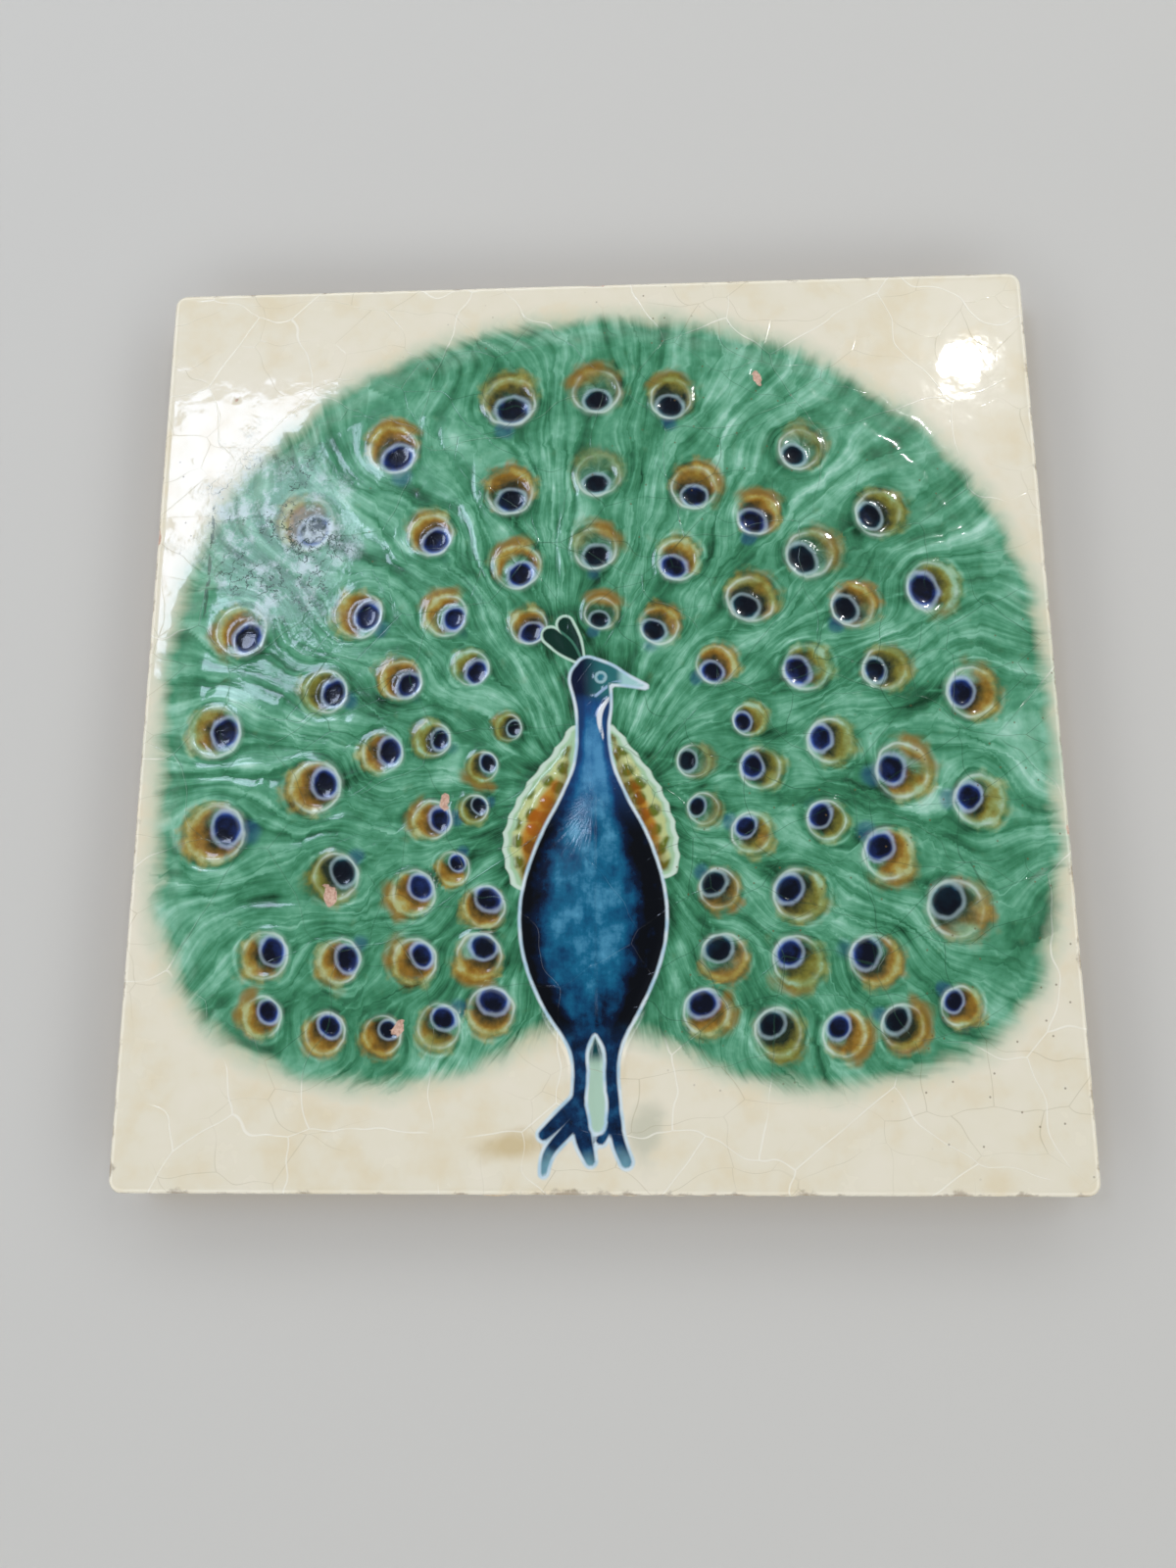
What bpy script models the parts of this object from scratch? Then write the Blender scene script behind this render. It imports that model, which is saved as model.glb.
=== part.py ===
"""A relief-moulded wall tile: a peacock with its tail spread, in raised lines and hollows for glaze.

Real size in metres. The tile lies on its back with +Z out of the face, the top of the picture
towards +Y and the origin at the middle of the back. Places in the picture are written in
millimetres on a six-inch tile, from its middle, and grow and shrink with the tile's side.
"""

import bmesh
import bpy
import numpy as np

MM = 0.001

# The body of the tile
TILE_SIDE = 152.4 * MM
BODY_THICKNESS = 9.5 * MM
CORNER_RADIUS = 2.2 * MM
EDGE_ROUND = 1.0 * MM

# The keyed back: shallow pockets between flat lands that bed in the mortar
POCKET_PAIRS = 4
POCKET_PITCH = 17.0 * MM
POCKET_WIDTH = 9.5 * MM
POCKET_DEPTH = 1.2 * MM
POCKET_DRAFT = 0.8 * MM
BACK_BORDER = 9.0 * MM

# Old mortar left on the lower side
MORTAR_DEPTH = 0.6 * MM
MORTAR_TOP = 7.6 * MM
MORTAR_REACH = 34.0

# Heights of the relief over the plain ground
FAN_RISE = 1.1 * MM
RIDGE_RISE = 0.5 * MM
EYE_DISH = 0.5 * MM
PUPIL_DISH = 0.45 * MM
WING_RISE = 0.7 * MM
BODY_RISE = 1.5 * MM
MOAT_DEPTH = 0.5 * MM

# The spread tail, in picture millimetres: round above, squarer below, with a floor that lifts at the legs
FAN_MIDDLE = (1.0, 4.0)
FAN_HALF_WIDTH = 73.0
FAN_HALF_HEIGHT = 64.5
FAN_ROUND_ABOVE = 2.05
FAN_ROUND_BELOW = 4.4
FAN_FLOOR = -60.0
FAN_LIFT = 9.5
FAN_LIFT_WIDTH = 18.0
FAN_EDGE_WIDTH = 3.0

# The rings of eyes: middle x, middle y, radius, size of an eye, and the feathers' directions in degrees
EYE_RINGS = (
    (-0.9, -17.4, 18.1, 2.5, (0, 24, 134, 157, 179)),
    (-0.1, -12.1, 26.4, 3.1, (-42, -20, 2, 19, 41, 66, 87, 113, 138, 167, 195, 213, 230)),
    (1.8, -10.6, 36.0, 3.7, (-34, -14, 6, 25, 48, 70, 92, 113, 136, 157, 176, 213)),
    (1.9, -8.5, 47.0, 4.1, (-20, -4, 16, 30, 44, 57, 71, 91, 110, 128, 150, 167, 186, 204)),
    (-0.4, -7.9, 61.8, 4.4, (-24, -8, 8, 25, 39, 55, 77, 89, 103, 123, 141, 161, 177, 192)),
)
# The two rows of eyes in the lower lobes: lowest y, how fast the row curls up, size, places in x
EYE_ROWS = (
    (-41.0, 0.004, 3.8, (-52, -40, -28, -18, 20, 31, 43)),
    (-52.0, 0.010, 3.4, (-52, -42, -33, -24, -16, 17, 28, 38, 47, 56)),
)
EYE_ROW_MIDDLE = 36.0
FAN_ROOT_DEPTH = 8.0
RIDGE_WIDTH = 0.62

# The bird, as strokes through stations of x, y and half-width
BODY = (
    (-0.6, 3.7, 3.3),
    (0.0, -0.5, 2.9),
    (-0.1, -5.0, 2.55),
    (0.0, -11.0, 3.2),
    (0.0, -18.0, 5.8),
    (0.0, -27.0, 9.9),
    (-0.2, -35.0, 11.7),
    (-0.4, -43.0, 9.3),
    (-0.1, -53.0, 3.8),
)
BEAK = ((-0.9, 5.3, 2.1), (2.3, 4.5, 1.7), (5.2, 3.5, 0.9), (8.7, 2.3, 0.25))
LEGS = (
    ((-2.4, -52.0, 1.5), (-2.3, -58.0, 1.15), (-2.6, -62.5, 1.1), (-2.5, -65.5, 1.3)),
    ((2.6, -52.0, 1.4), (2.5, -58.0, 1.05), (2.7, -62.0, 1.1), (3.0, -66.0, 1.1)),
)
TOES = (
    ((-3.0, -63.0, 1.1), (-5.6, -65.2, 1.0), (-8.2, -67.3, 0.95)),
    ((-3.6, -65.0, 1.0), (-6.6, -67.8, 0.9), (-7.9, -70.0, 0.75), (-8.0, -72.3, 0.6)),
    ((-2.6, -65.0, 1.3), (-1.7, -68.3, 1.25), (-0.9, -70.8, 0.9)),
    ((2.2, -66.0, 0.7), (0.7, -67.9, 0.9)),
    ((3.0, -66.0, 1.1), (3.7, -68.5, 1.0), (4.6, -70.9, 0.9)),
)
CREST = (
    ((-2.5, 7.0, 0.5), (-4.6, 9.2, 0.9), (-7.5, 11.3, 1.1)),
    ((-2.3, 7.2, 0.4), (-3.7, 10.0, 0.8), (-5.0, 13.4, 1.0)),
)
WINGS = (
    ((-3.0, -5.0, 0.8), (-4.9, -10.0, 2.1), (-7.4, -16.0, 4.0), (-9.6, -22.4, 4.8), (-10.6, -27.6, 2.9)),
    ((2.8, -5.0, 0.8), (4.5, -9.5, 2.2), (7.3, -15.5, 3.4), (9.3, -21.0, 3.6), (10.8, -26.0, 2.6)),
)

PICTURE = TILE_SIDE / 152.4
GRID_CELLS = 300
EDGE_CELLS = 4
SOLID_TRIANGLES = 9200


def new_collection(name):
    collection = bpy.data.collections.new(name)
    bpy.context.scene.collection.children.link(collection)
    return collection


def smooth_step(start, end, value):
    """0 before start and 1 after end, with a level curve at both."""
    share = np.clip((value - start) / (end - start), 0.0, 1.0)
    return share * share * (3.0 - 2.0 * share)


def spine(stations, steps=5):
    """A smooth run of stations through the given ones, each stretch a Catmull-Rom curve."""
    knots = np.array([stations[0], *stations, stations[-1]], dtype=float)
    before, start, end, after = knots[:-3], knots[1:-2], knots[2:-1], knots[3:]
    share = np.linspace(0.0, 1.0, steps, endpoint=False)[None, :, None]
    before, start, end, after = (k[:, None, :] for k in (before, start, end, after))
    curve = start + 0.5 * share * (
        end - before
        + share * (2.0 * before - 5.0 * start + 4.0 * end - after
                   + share * (3.0 * (start - end) + after - before))
    )
    return np.vstack([curve.reshape(-1, 3), knots[-1]])


def stroke_distance(x, y, stations):
    """Distance to the edge of a stroke, negative inside: the least over its round-ended cones.

    On each cone the nearest circle sits ahead of the foot of the perpendicular by the taper's tangent.
    """
    best = np.full(x.shape, np.inf)
    line = spine(stations)
    for (ax, ay, ar), (bx, by, br) in zip(line[:-1], line[1:]):
        length = np.hypot(bx - ax, by - ay)
        along_x, along_y = (bx - ax) / length, (by - ay) / length
        sine = np.clip((br - ar) / length, -0.95, 0.95)
        ahead = (x - ax) * along_x + (y - ay) * along_y
        aside = np.abs((x - ax) * along_y - (y - ay) * along_x)
        foot = np.clip(ahead + aside * sine / np.sqrt(1.0 - sine * sine), 0.0, length)
        best = np.minimum(best, np.hypot(ahead - foot, aside) - (ar + (br - ar) * foot / length))
    return best


def fan_distance(x, y):
    """Distance to the edge of the spread tail, negative inside.

    A superellipse, rounder above than below, gives a level that is 1 on its edge; the level over its
    slope is the distance. The floor cuts it off, and the nearer of the two edges counts.
    """
    power = np.where(y > FAN_MIDDLE[1], FAN_ROUND_ABOVE, FAN_ROUND_BELOW)
    wide = np.maximum(np.abs(x - FAN_MIDDLE[0]) / FAN_HALF_WIDTH, 1e-3)
    high = np.maximum(np.abs(y - FAN_MIDDLE[1]) / FAN_HALF_HEIGHT, 1e-3)
    level = (wide**power + high**power) ** (1.0 / power)
    slope = level ** (1.0 - power) * np.hypot(
        wide ** (power - 1.0) / FAN_HALF_WIDTH, high ** (power - 1.0) / FAN_HALF_HEIGHT
    )
    floor = FAN_FLOOR + FAN_LIFT * np.exp(-((x / FAN_LIFT_WIDTH) ** 2)) - y
    return np.maximum((level - 1.0) / slope, floor)


def uneven(number):
    """A fixed number between -1 and 1 that differs from one eye to the next."""
    return 2.0 * np.modf(abs(np.sin(12.9898 * number + 4.1) * 4375.85))[0] - 1.0


def eye_places():
    """Each eye's x, y, size and the outward direction of its feather."""
    places = []
    for middle_x, middle_y, radius, size, directions in EYE_RINGS:
        for direction in np.radians(directions):
            places.append((middle_x + radius * np.cos(direction), middle_y + radius * np.sin(direction), size))
    for low, curl, size, row in EYE_ROWS:
        for x in row:
            places.append((x, low + curl * (abs(x) - EYE_ROW_MIDDLE) ** 2, size))
    eyes = []
    for number, (x, y, size) in enumerate(places):
        outward = np.arctan2(y + FAN_ROOT_DEPTH, x) + 0.25 * uneven(number + 0.5)
        eyes.append((x, y, size * (1.0 + 0.13 * uneven(number)), outward))
    return eyes


def eye_relief(x, y, size, outward):
    """Height of one eye over the tail: a raised ring, a hollow in it, and a deeper ringed pupil."""
    ahead = x * np.cos(outward) + y * np.sin(outward)
    aside = y * np.cos(outward) - x * np.sin(outward)
    rim = np.hypot(aside, np.where(ahead < 0.0, 0.9 * ahead, ahead) - 0.28 * size) - size
    pupil = np.hypot(aside, ahead + 0.06 * size) - 0.52 * size
    rings = np.exp(-((rim / RIDGE_WIDTH) ** 2)) + 0.6 * np.exp(-((pupil / RIDGE_WIDTH) ** 2))
    hollow = smooth_step(0.1, 1.4, -rim) * smooth_step(0.0, 0.9, pupil)
    well = smooth_step(0.0, 0.22 * size, -pupil)
    return RIDGE_RISE * np.minimum(rings, 1.0) - EYE_DISH * hollow - PUPIL_DISH * well


def relief(x, y):
    """Height over the plain ground, in metres, at places in picture millimetres."""
    fan = smooth_step(0.0, FAN_EDGE_WIDTH, -fan_distance(x, y))
    height = FAN_RISE * fan
    for eye_x, eye_y, size, outward in eye_places():
        near = np.hypot(x - eye_x, y - eye_y) < 2.0 * size
        height[near] += fan[near] * eye_relief(x[near] - eye_x, y[near] - eye_y, size, outward)
    near = (np.abs(x) < 20.0) & (y < 18.0)
    height[near] = bird_relief(x[near], y[near], height[near])
    return height


def bird_relief(x, y, height):
    """The bird laid over the height of the tail: crest, wings, legs, toes, then head, neck and body."""
    for stations in CREST:
        height = laid_over(height, stroke_distance(x, y, stations), FAN_RISE, 0.0)
    for stations in WINGS:
        edge = stroke_distance(x, y, stations)
        swell = WING_RISE * smooth_step(0.4, 2.6, -edge)
        height = laid_over(height, edge, FAN_RISE, swell)
    for stations in TOES:
        height = laid_over(height, stroke_distance(x, y, stations), 0.25 * FAN_RISE, 0.0)
    legs = np.minimum(*(stroke_distance(x, y, stations) for stations in LEGS))
    height = laid_over(height, legs, 0.35 * FAN_RISE, 0.0)
    body = np.minimum(stroke_distance(x, y, BODY), stroke_distance(x, y, BEAK))
    dome = BODY_RISE * smooth_step(1.0, 8.0, -body) - MOAT_DEPTH * smooth_step(0.3, 1.3, -body)
    base = 0.6 + 0.4 * smooth_step(-60.0, -50.0, y)
    return laid_over(height, body, base * FAN_RISE, dome)


def laid_over(height, edge, base, inside):
    """A figure with a raised line on its edge and its own height inside, over what lies behind it."""
    cover = smooth_step(-0.3, 0.3, -edge)
    line = RIDGE_RISE * np.exp(-((edge / RIDGE_WIDTH) ** 2))
    behind = height + (base - height) * smooth_step(-1.2, 0.0, -edge)
    return behind + (base + inside - behind) * cover + line


def grid_lines():
    """Where the lines of the face's grid lie: even across the face, then down the quarter round of its edge."""
    half = 0.5 * TILE_SIDE
    even = np.linspace(-half + EDGE_ROUND, half - EDGE_ROUND, GRID_CELLS - 2 * EDGE_CELLS + 1)
    turn = np.linspace(0.0, 0.5 * np.pi, EDGE_CELLS + 1)[1:]
    arc = half - EDGE_ROUND + EDGE_ROUND * np.sin(turn)
    return np.concatenate([-arc[::-1], even, arc])


def rounded_square(x, y):
    """Draws the corners of a square grid of places in to the tile's corner arcs."""
    flat = 0.5 * TILE_SIDE - CORNER_RADIUS
    over_x, over_y = np.abs(x) - flat, np.abs(y) - flat
    corner = (over_x > 0.0) & (over_y > 0.0)
    reach = np.hypot(over_x, over_y)
    draw = np.where(corner, np.maximum(over_x, over_y) / np.maximum(reach, 1e-9), 1.0)
    x = np.where(corner, np.sign(x) * (flat + over_x * draw), x)
    y = np.where(corner, np.sign(y) * (flat + over_y * draw), y)
    return x, y


def edge_gap(x, y):
    """Distance in from the tile's outline."""
    half = 0.5 * TILE_SIDE
    flat = half - CORNER_RADIUS
    over_x, over_y = np.abs(x) - flat, np.abs(y) - flat
    corner = (over_x > 0.0) & (over_y > 0.0)
    straight = half - np.maximum(np.abs(x), np.abs(y))
    return np.where(corner, CORNER_RADIUS - np.hypot(over_x, over_y), straight)


def face_height(x, y):
    """Height of the face over the back: body, relief, and the soft rounding at the tile's edge."""
    inward = np.clip(edge_gap(x, y), 0.0, EDGE_ROUND)
    drop = EDGE_ROUND - np.sqrt(np.maximum(EDGE_ROUND**2 - (EDGE_ROUND - inward) ** 2, 0.0))
    return BODY_THICKNESS - drop + relief(x / PICTURE, y / PICTURE)


def mortar_reach(x, z):
    """How far the old mortar stands out from the lower side, at a place along it and a height."""
    along = smooth_step(0.0, 4.0, MORTAR_REACH - np.abs(x / PICTURE))
    uneven_face = 0.8 + 0.2 * np.sin(1.1 * x / PICTURE + 2.0 * np.sin(0.37 * x / PICTURE))
    return MORTAR_DEPTH * along * uneven_face * smooth_step(0.0, 0.5 * MM, MORTAR_TOP - z)


def make_face(mesh):
    """The face as one fine grid, closer together near the edge, with its relief."""
    builder = bmesh.new()
    bmesh.ops.create_grid(builder, x_segments=GRID_CELLS, y_segments=GRID_CELLS, size=1.0)
    builder.to_mesh(mesh)
    builder.free()
    places = np.empty(len(mesh.vertices) * 3)
    mesh.vertices.foreach_get("co", places)
    places = places.reshape(-1, 3)
    lines = grid_lines()
    column, row = (np.rint(0.5 * GRID_CELLS * (axis + 1.0)).astype(int) for axis in places[:, :2].T)
    x, y = rounded_square(lines[column], lines[row])
    places[:, 0], places[:, 1] = x, y
    places[:, 2] = face_height(x, y)
    mesh.vertices.foreach_set("co", places.ravel())


def close_body(mesh):
    """The sides drawn down from the face's edge in steps, with the mortar on the lower one, and the back."""
    builder = bmesh.new()
    builder.from_mesh(mesh)
    rim = [edge for edge in builder.edges if edge.is_boundary]
    for level in (MORTAR_TOP, MORTAR_TOP - 0.5 * MM, 0.0):
        made = bmesh.ops.extrude_edge_only(builder, edges=rim)["geom"]
        rim = [item for item in made if isinstance(item, bmesh.types.BMEdge)]
        for corner in {corner for edge in rim for corner in edge.verts}:
            corner.co.z = level
    bmesh.ops.edgeloop_fill(builder, edges=rim)
    lowest = -0.5 * TILE_SIDE
    for corner in builder.verts:
        if corner.co.y < lowest + 1e-6 and corner.co.z < MORTAR_TOP - 0.1 * MM:
            corner.co.y -= float(mortar_reach(corner.co.x, corner.co.z))
    bmesh.ops.recalc_face_normals(builder, faces=builder.faces)
    builder.to_mesh(mesh)
    builder.free()


def add_pockets(tile, cutters):
    """Cuts the rows of shallow pockets into the back, each with sloping sides."""
    length = TILE_SIDE - 2.0 * BACK_BORDER
    mesh = bpy.data.meshes.new("pockets")
    builder = bmesh.new()
    for number in range(-POCKET_PAIRS, POCKET_PAIRS):
        middle = (number + 0.5) * POCKET_PITCH
        box = bmesh.ops.create_cube(builder, size=1.0)["verts"]
        for corner in box:
            below = corner.co.z < 0.0
            wide = POCKET_DRAFT * (1.0 + 1.0 * MM / POCKET_DEPTH) if below else 0.0
            corner.co.x *= length + 2.0 * wide
            corner.co.y = middle + corner.co.y * (POCKET_WIDTH + 2.0 * wide)
            corner.co.z = -1.0 * MM if below else POCKET_DEPTH
    builder.to_mesh(mesh)
    builder.free()
    cutter = bpy.data.objects.new("pockets", mesh)
    cutter.hide_render = True
    cutter.display_type = "WIRE"
    cutters.objects.link(cutter)
    cut = tile.modifiers.new("pockets", "BOOLEAN")
    cut.operation = "DIFFERENCE"
    cut.solver = "EXACT"
    cut.object = cutter


def glazed_clay():
    """Plain glaze colour for the solid."""
    material = bpy.data.materials.new("glazed_clay")
    material.use_nodes = True
    shader = material.node_tree.nodes["Principled BSDF"]
    shader.inputs["Base Color"].default_value = (0.16, 0.42, 0.28, 1.0)
    shader.inputs["Roughness"].default_value = 0.15
    return material


def build():
    for thing in list(bpy.data.objects):
        bpy.data.objects.remove(thing)
    model = new_collection("peacock_tile")
    cutters = new_collection("cutters")
    cutters.hide_render = True
    mesh = bpy.data.meshes.new("tile")
    make_face(mesh)
    close_body(mesh)
    tile = bpy.data.objects.new("tile", mesh)
    model.objects.link(tile)
    mesh.materials.append(glazed_clay())
    thin = tile.modifiers.new("fewer_faces", "DECIMATE")
    thin.ratio = SOLID_TRIANGLES / (2.0 * GRID_CELLS**2 + 24.0 * GRID_CELLS)
    thin.use_collapse_triangulate = True
    add_pockets(tile, cutters)


build()
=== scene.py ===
# %% [markdown]
# # A relief-moulded tile in coloured glazes
#
# The clay is pressed into a mould, so the drawing stands on it as thin raised lines with hollows
# between them. Each hollow is flooded with a clear coloured glaze. Where the glaze lies deep its
# colour is strong, and on the raised lines it runs thin and shows the pale clay. So one height
# decides both the shape and the colour: this script builds the height first and then reads the
# glaze's depth from it.

import bmesh
import bpy
import numpy as np
from mathutils import Matrix, Vector


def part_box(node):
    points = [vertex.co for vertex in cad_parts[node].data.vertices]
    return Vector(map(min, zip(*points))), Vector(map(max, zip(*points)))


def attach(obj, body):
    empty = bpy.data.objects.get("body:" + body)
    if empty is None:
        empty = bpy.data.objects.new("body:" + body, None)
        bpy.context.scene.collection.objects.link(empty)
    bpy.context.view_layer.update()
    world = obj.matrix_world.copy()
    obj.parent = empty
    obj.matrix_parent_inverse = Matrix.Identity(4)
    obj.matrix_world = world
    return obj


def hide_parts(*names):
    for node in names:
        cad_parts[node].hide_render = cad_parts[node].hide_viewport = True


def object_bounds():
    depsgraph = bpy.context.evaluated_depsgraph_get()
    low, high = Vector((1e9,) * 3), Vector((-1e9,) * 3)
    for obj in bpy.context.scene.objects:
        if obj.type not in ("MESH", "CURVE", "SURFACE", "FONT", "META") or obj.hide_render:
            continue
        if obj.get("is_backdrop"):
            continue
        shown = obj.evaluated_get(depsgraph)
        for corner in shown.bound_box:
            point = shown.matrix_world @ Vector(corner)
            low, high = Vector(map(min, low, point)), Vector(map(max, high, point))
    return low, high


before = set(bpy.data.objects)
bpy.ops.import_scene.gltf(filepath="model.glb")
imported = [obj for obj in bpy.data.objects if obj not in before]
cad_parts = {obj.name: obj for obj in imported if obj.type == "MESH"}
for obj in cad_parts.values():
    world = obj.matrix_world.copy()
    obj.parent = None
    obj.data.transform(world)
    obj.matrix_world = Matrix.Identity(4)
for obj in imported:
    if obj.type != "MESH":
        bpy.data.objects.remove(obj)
cad_low, cad_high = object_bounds()
low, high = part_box("tile")
print("CAD box in mm:", [round(1000 * v, 2) for v in (*low, *high)])

# %% [markdown]
# Places in the picture are millimetres on a six-inch tile, from its middle. The body's sizes come
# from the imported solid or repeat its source: side, corner, soft edge, and the pockets in the back.

# %% Sizes
MM = 0.001
SIDE = high.x - low.x
PICTURE = SIDE / 152.4
BODY_THICKNESS = 9.5 * MM
CORNER_RADIUS = 2.2 * MM
EDGE_ROUND = 1.0 * MM
FACE_CELLS = 304
EDGE_CELLS = 4
# The signs of a square's corners, in order round it
SQUARE = ((-1, -1), (1, -1), (1, 1), (-1, 1))

MORTAR_DEPTH = 0.56 * MM
MORTAR_TOP = 7.6 * MM
MORTAR_REACH = 34.0

POCKET_PAIRS = 4
POCKET_PITCH = 17.0 * MM
POCKET_WIDTH = 9.5 * MM
POCKET_DEPTH = 1.2 * MM
POCKET_DRAFT = 0.8 * MM
BACK_BORDER = 9.0 * MM

FAN_RISE, RIDGE_RISE, EYE_DISH, PUPIL_DISH = 0.9, 0.15, 0.12, 0.1
WING_RISE, BODY_RISE, MOAT_DEPTH, STRAND_RISE = 0.6, 1.4, 0.12, 0.26
RIDGE_WIDTH = 0.7
print("side and relief in mm:", round(SIDE / MM, 1), round((high.z - BODY_THICKNESS) / MM, 2))

# %% [markdown]
# ## Curves that the drawing is made of
#
# A modeller cuts the mould with strokes: a neck, a toe or a plume is a line that swells and tapers.
# A stroke is a few stations of x, y and half-width, joined by a smooth curve, and its signed
# distance, negative inside, gives the raised line, the hollow and the glaze's edge all at once.


# %% Smooth steps and noise
def smooth_step(start, end, value):
    """0 before start, 1 after end, and 3s2 - 2s3 of the share s between them."""
    share = np.clip((value - start) / (end - start), 0.0, 1.0)
    return share * share * (3.0 - 2.0 * share)


def lattice_noise(u, v, seed):
    """Smooth noise from -1 to 1: random numbers on a unit lattice, blended by smooth steps between them.

    The number of a lattice point is the fraction of a large multiple of a sine.
    """
    column, row = np.floor(u), np.floor(v)
    share_u, share_v = smooth_step(0.0, 1.0, u - column), smooth_step(0.0, 1.0, v - row)

    def number(i, j):
        return np.modf(np.abs(np.sin(i * 12.9898 + j * 78.233 + seed) * 4375.85453))[0]

    lower = number(column, row) * (1 - share_u) + number(column + 1, row) * share_u
    upper = number(column, row + 1) * (1 - share_u) + number(column + 1, row + 1) * share_u
    return 2.0 * (lower * (1 - share_v) + upper * share_v) - 1.0


# %% [markdown]
# A stroke has few stations, so a curve that passes through each of them fills the gaps. The short
# stretches between its points are cones with round ends, whose distance has a formula.


# %% Strokes
def spine(stations, steps=5):
    """A smooth run of stations through the given ones, each stretch a Catmull-Rom curve."""
    knots = np.array([stations[0], *stations, stations[-1]], dtype=float)
    before, start, end, after = (k[:, None, :] for k in (knots[:-3], knots[1:-2], knots[2:-1], knots[3:]))
    share = np.linspace(0.0, 1.0, steps, endpoint=False)[None, :, None]
    curve = start + 0.5 * share * (
        end - before
        + share * (2.0 * before - 5.0 * start + 4.0 * end - after
                   + share * (3.0 * (start - end) + after - before))
    )
    return np.vstack([curve.reshape(-1, knots.shape[1]), knots[-1]])


def stroke_distance(x, y, stations):
    """Distance to the edge of a stroke, negative inside: the least over its round-ended cones.

    On each cone the nearest circle sits ahead of the foot of the perpendicular by the taper's tangent.
    """
    best = np.full(x.shape, 1e3)
    line = spine(stations)
    for (ax, ay, ar), (bx, by, br) in zip(line[:-1], line[1:]):
        length = np.hypot(bx - ax, by - ay)
        along_x, along_y = (bx - ax) / length, (by - ay) / length
        sine = np.clip((br - ar) / length, -0.95, 0.95)
        ahead = (x - ax) * along_x + (y - ay) * along_y
        aside = np.abs((x - ax) * along_y - (y - ay) * along_x)
        foot = np.clip(ahead + aside * sine / np.sqrt(1.0 - sine * sine), 0.0, length)
        best = np.minimum(best, np.hypot(ahead - foot, aside) - (ar + (br - ar) * foot / length))
    return best


# %% [markdown]
# ## The spread tail
#
# The tail is one low cushion of clay, round above and squarer below, with a floor that lifts where
# the legs come out.

# %% The tail's outline
FAN_MIDDLE = (1.0, 4.0)
FAN_HALF_WIDTH, FAN_HALF_HEIGHT = 73.0, 64.5
FAN_ROUND_ABOVE, FAN_ROUND_BELOW = 2.05, 4.4
FAN_FLOOR, FAN_LIFT, FAN_LIFT_WIDTH = -60.0, 9.5, 18.0
FAN_EDGE_WIDTH = 6.0
FAN_ROOT_DEPTH = 8.0


def fan_distance(x, y):
    """Distance to the edge of the spread tail, negative inside.

    A superellipse, rounder above than below, gives a level that is 1 on its edge; the level over its
    slope is the distance. The floor cuts it off, and the nearer of the two edges counts.
    """
    power = np.where(y > FAN_MIDDLE[1], FAN_ROUND_ABOVE, FAN_ROUND_BELOW)
    wide = np.maximum(np.abs(x - FAN_MIDDLE[0]) / FAN_HALF_WIDTH, 1e-3)
    tall = np.maximum(np.abs(y - FAN_MIDDLE[1]) / FAN_HALF_HEIGHT, 1e-3)
    level = (wide**power + tall**power) ** (1.0 / power)
    slope = level ** (1.0 - power) * np.hypot(
        wide ** (power - 1.0) / FAN_HALF_WIDTH, tall ** (power - 1.0) / FAN_HALF_HEIGHT
    )
    floor = FAN_FLOOR + FAN_LIFT * np.exp(-((x / FAN_LIFT_WIDTH) ** 2)) - y
    return np.maximum((level - 1.0) / slope, floor)


# %% [markdown]
# The tail's eyes sit in five rings round the bird and in two rows in the lower lobes, closer and
# smaller towards the bird. Directions are enough to place them, and a fixed unevenness turns and
# sizes each one a little, as a modeller's hand does.

# %% The eyes' places
# Middle x, middle y, radius, size of an eye, and the feathers' directions in degrees
EYE_RINGS = (
    (-0.9, -17.4, 18.1, 2.5, (0, 24, 134, 157, 179)),
    (-0.1, -12.1, 26.4, 3.1, (-42, -20, 2, 19, 41, 66, 87, 113, 138, 167, 195, 213, 230)),
    (1.8, -10.6, 36.0, 3.7, (-34, -14, 6, 25, 48, 70, 92, 113, 136, 157, 176, 213)),
    (1.9, -8.5, 47.0, 4.1, (-20, -4, 16, 30, 44, 57, 71, 91, 110, 128, 150, 167, 186, 204)),
    (-0.4, -7.9, 61.8, 4.4, (-24, -8, 8, 25, 39, 55, 77, 89, 103, 123, 141, 161, 177, 192)),
)
# Lowest y, how fast the row curls up, size of an eye, and the places in x
EYE_ROWS = (
    (-41.0, 0.004, 3.8, (-52, -40, -28, -18, 20, 31, 43)),
    (-52.0, 0.010, 3.4, (-52, -42, -33, -24, -16, 17, 28, 38, 47, 56)),
)
EYE_ROW_MIDDLE = 36.0
TYPICAL_EYE = 4.0
# The glazed eyes keep a little inside the moulded rings, and a pupil has this share of its eye's radius
EYE_SHARE, PUPIL_SHARE = 0.92, 0.61


def uneven(number):
    """A fixed number between -1 and 1 that differs from one eye to the next."""
    return 2.0 * np.modf(abs(np.sin(12.9898 * number + 4.1) * 4375.85))[0] - 1.0


def eye_places():
    """Each eye's x, y, size and the outward direction of its feather, as rows of an array."""
    places = []
    for middle_x, middle_y, radius, size, directions in EYE_RINGS:
        for direction in np.radians(directions):
            x, y = middle_x + radius * np.cos(direction), middle_y + radius * np.sin(direction)
            places.append((x, y, size))
    for low_y, curl, size, row in EYE_ROWS:
        for x in row:
            places.append((x, low_y + curl * (abs(x) - EYE_ROW_MIDDLE) ** 2, size))
    eyes = []
    for number, (x, y, size) in enumerate(places):
        outward = np.arctan2(y + FAN_ROOT_DEPTH, x) + 0.25 * uneven(number + 0.5)
        eyes.append((x, y, EYE_SHARE * size * (1.0 + 0.13 * uneven(number)), outward))
    return np.array(eyes)


EYES = eye_places()
print("eyes:", len(EYES), "sizes in mm:", EYES[:, 2].min().round(2), "to", EYES[:, 2].max().round(2))

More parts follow.
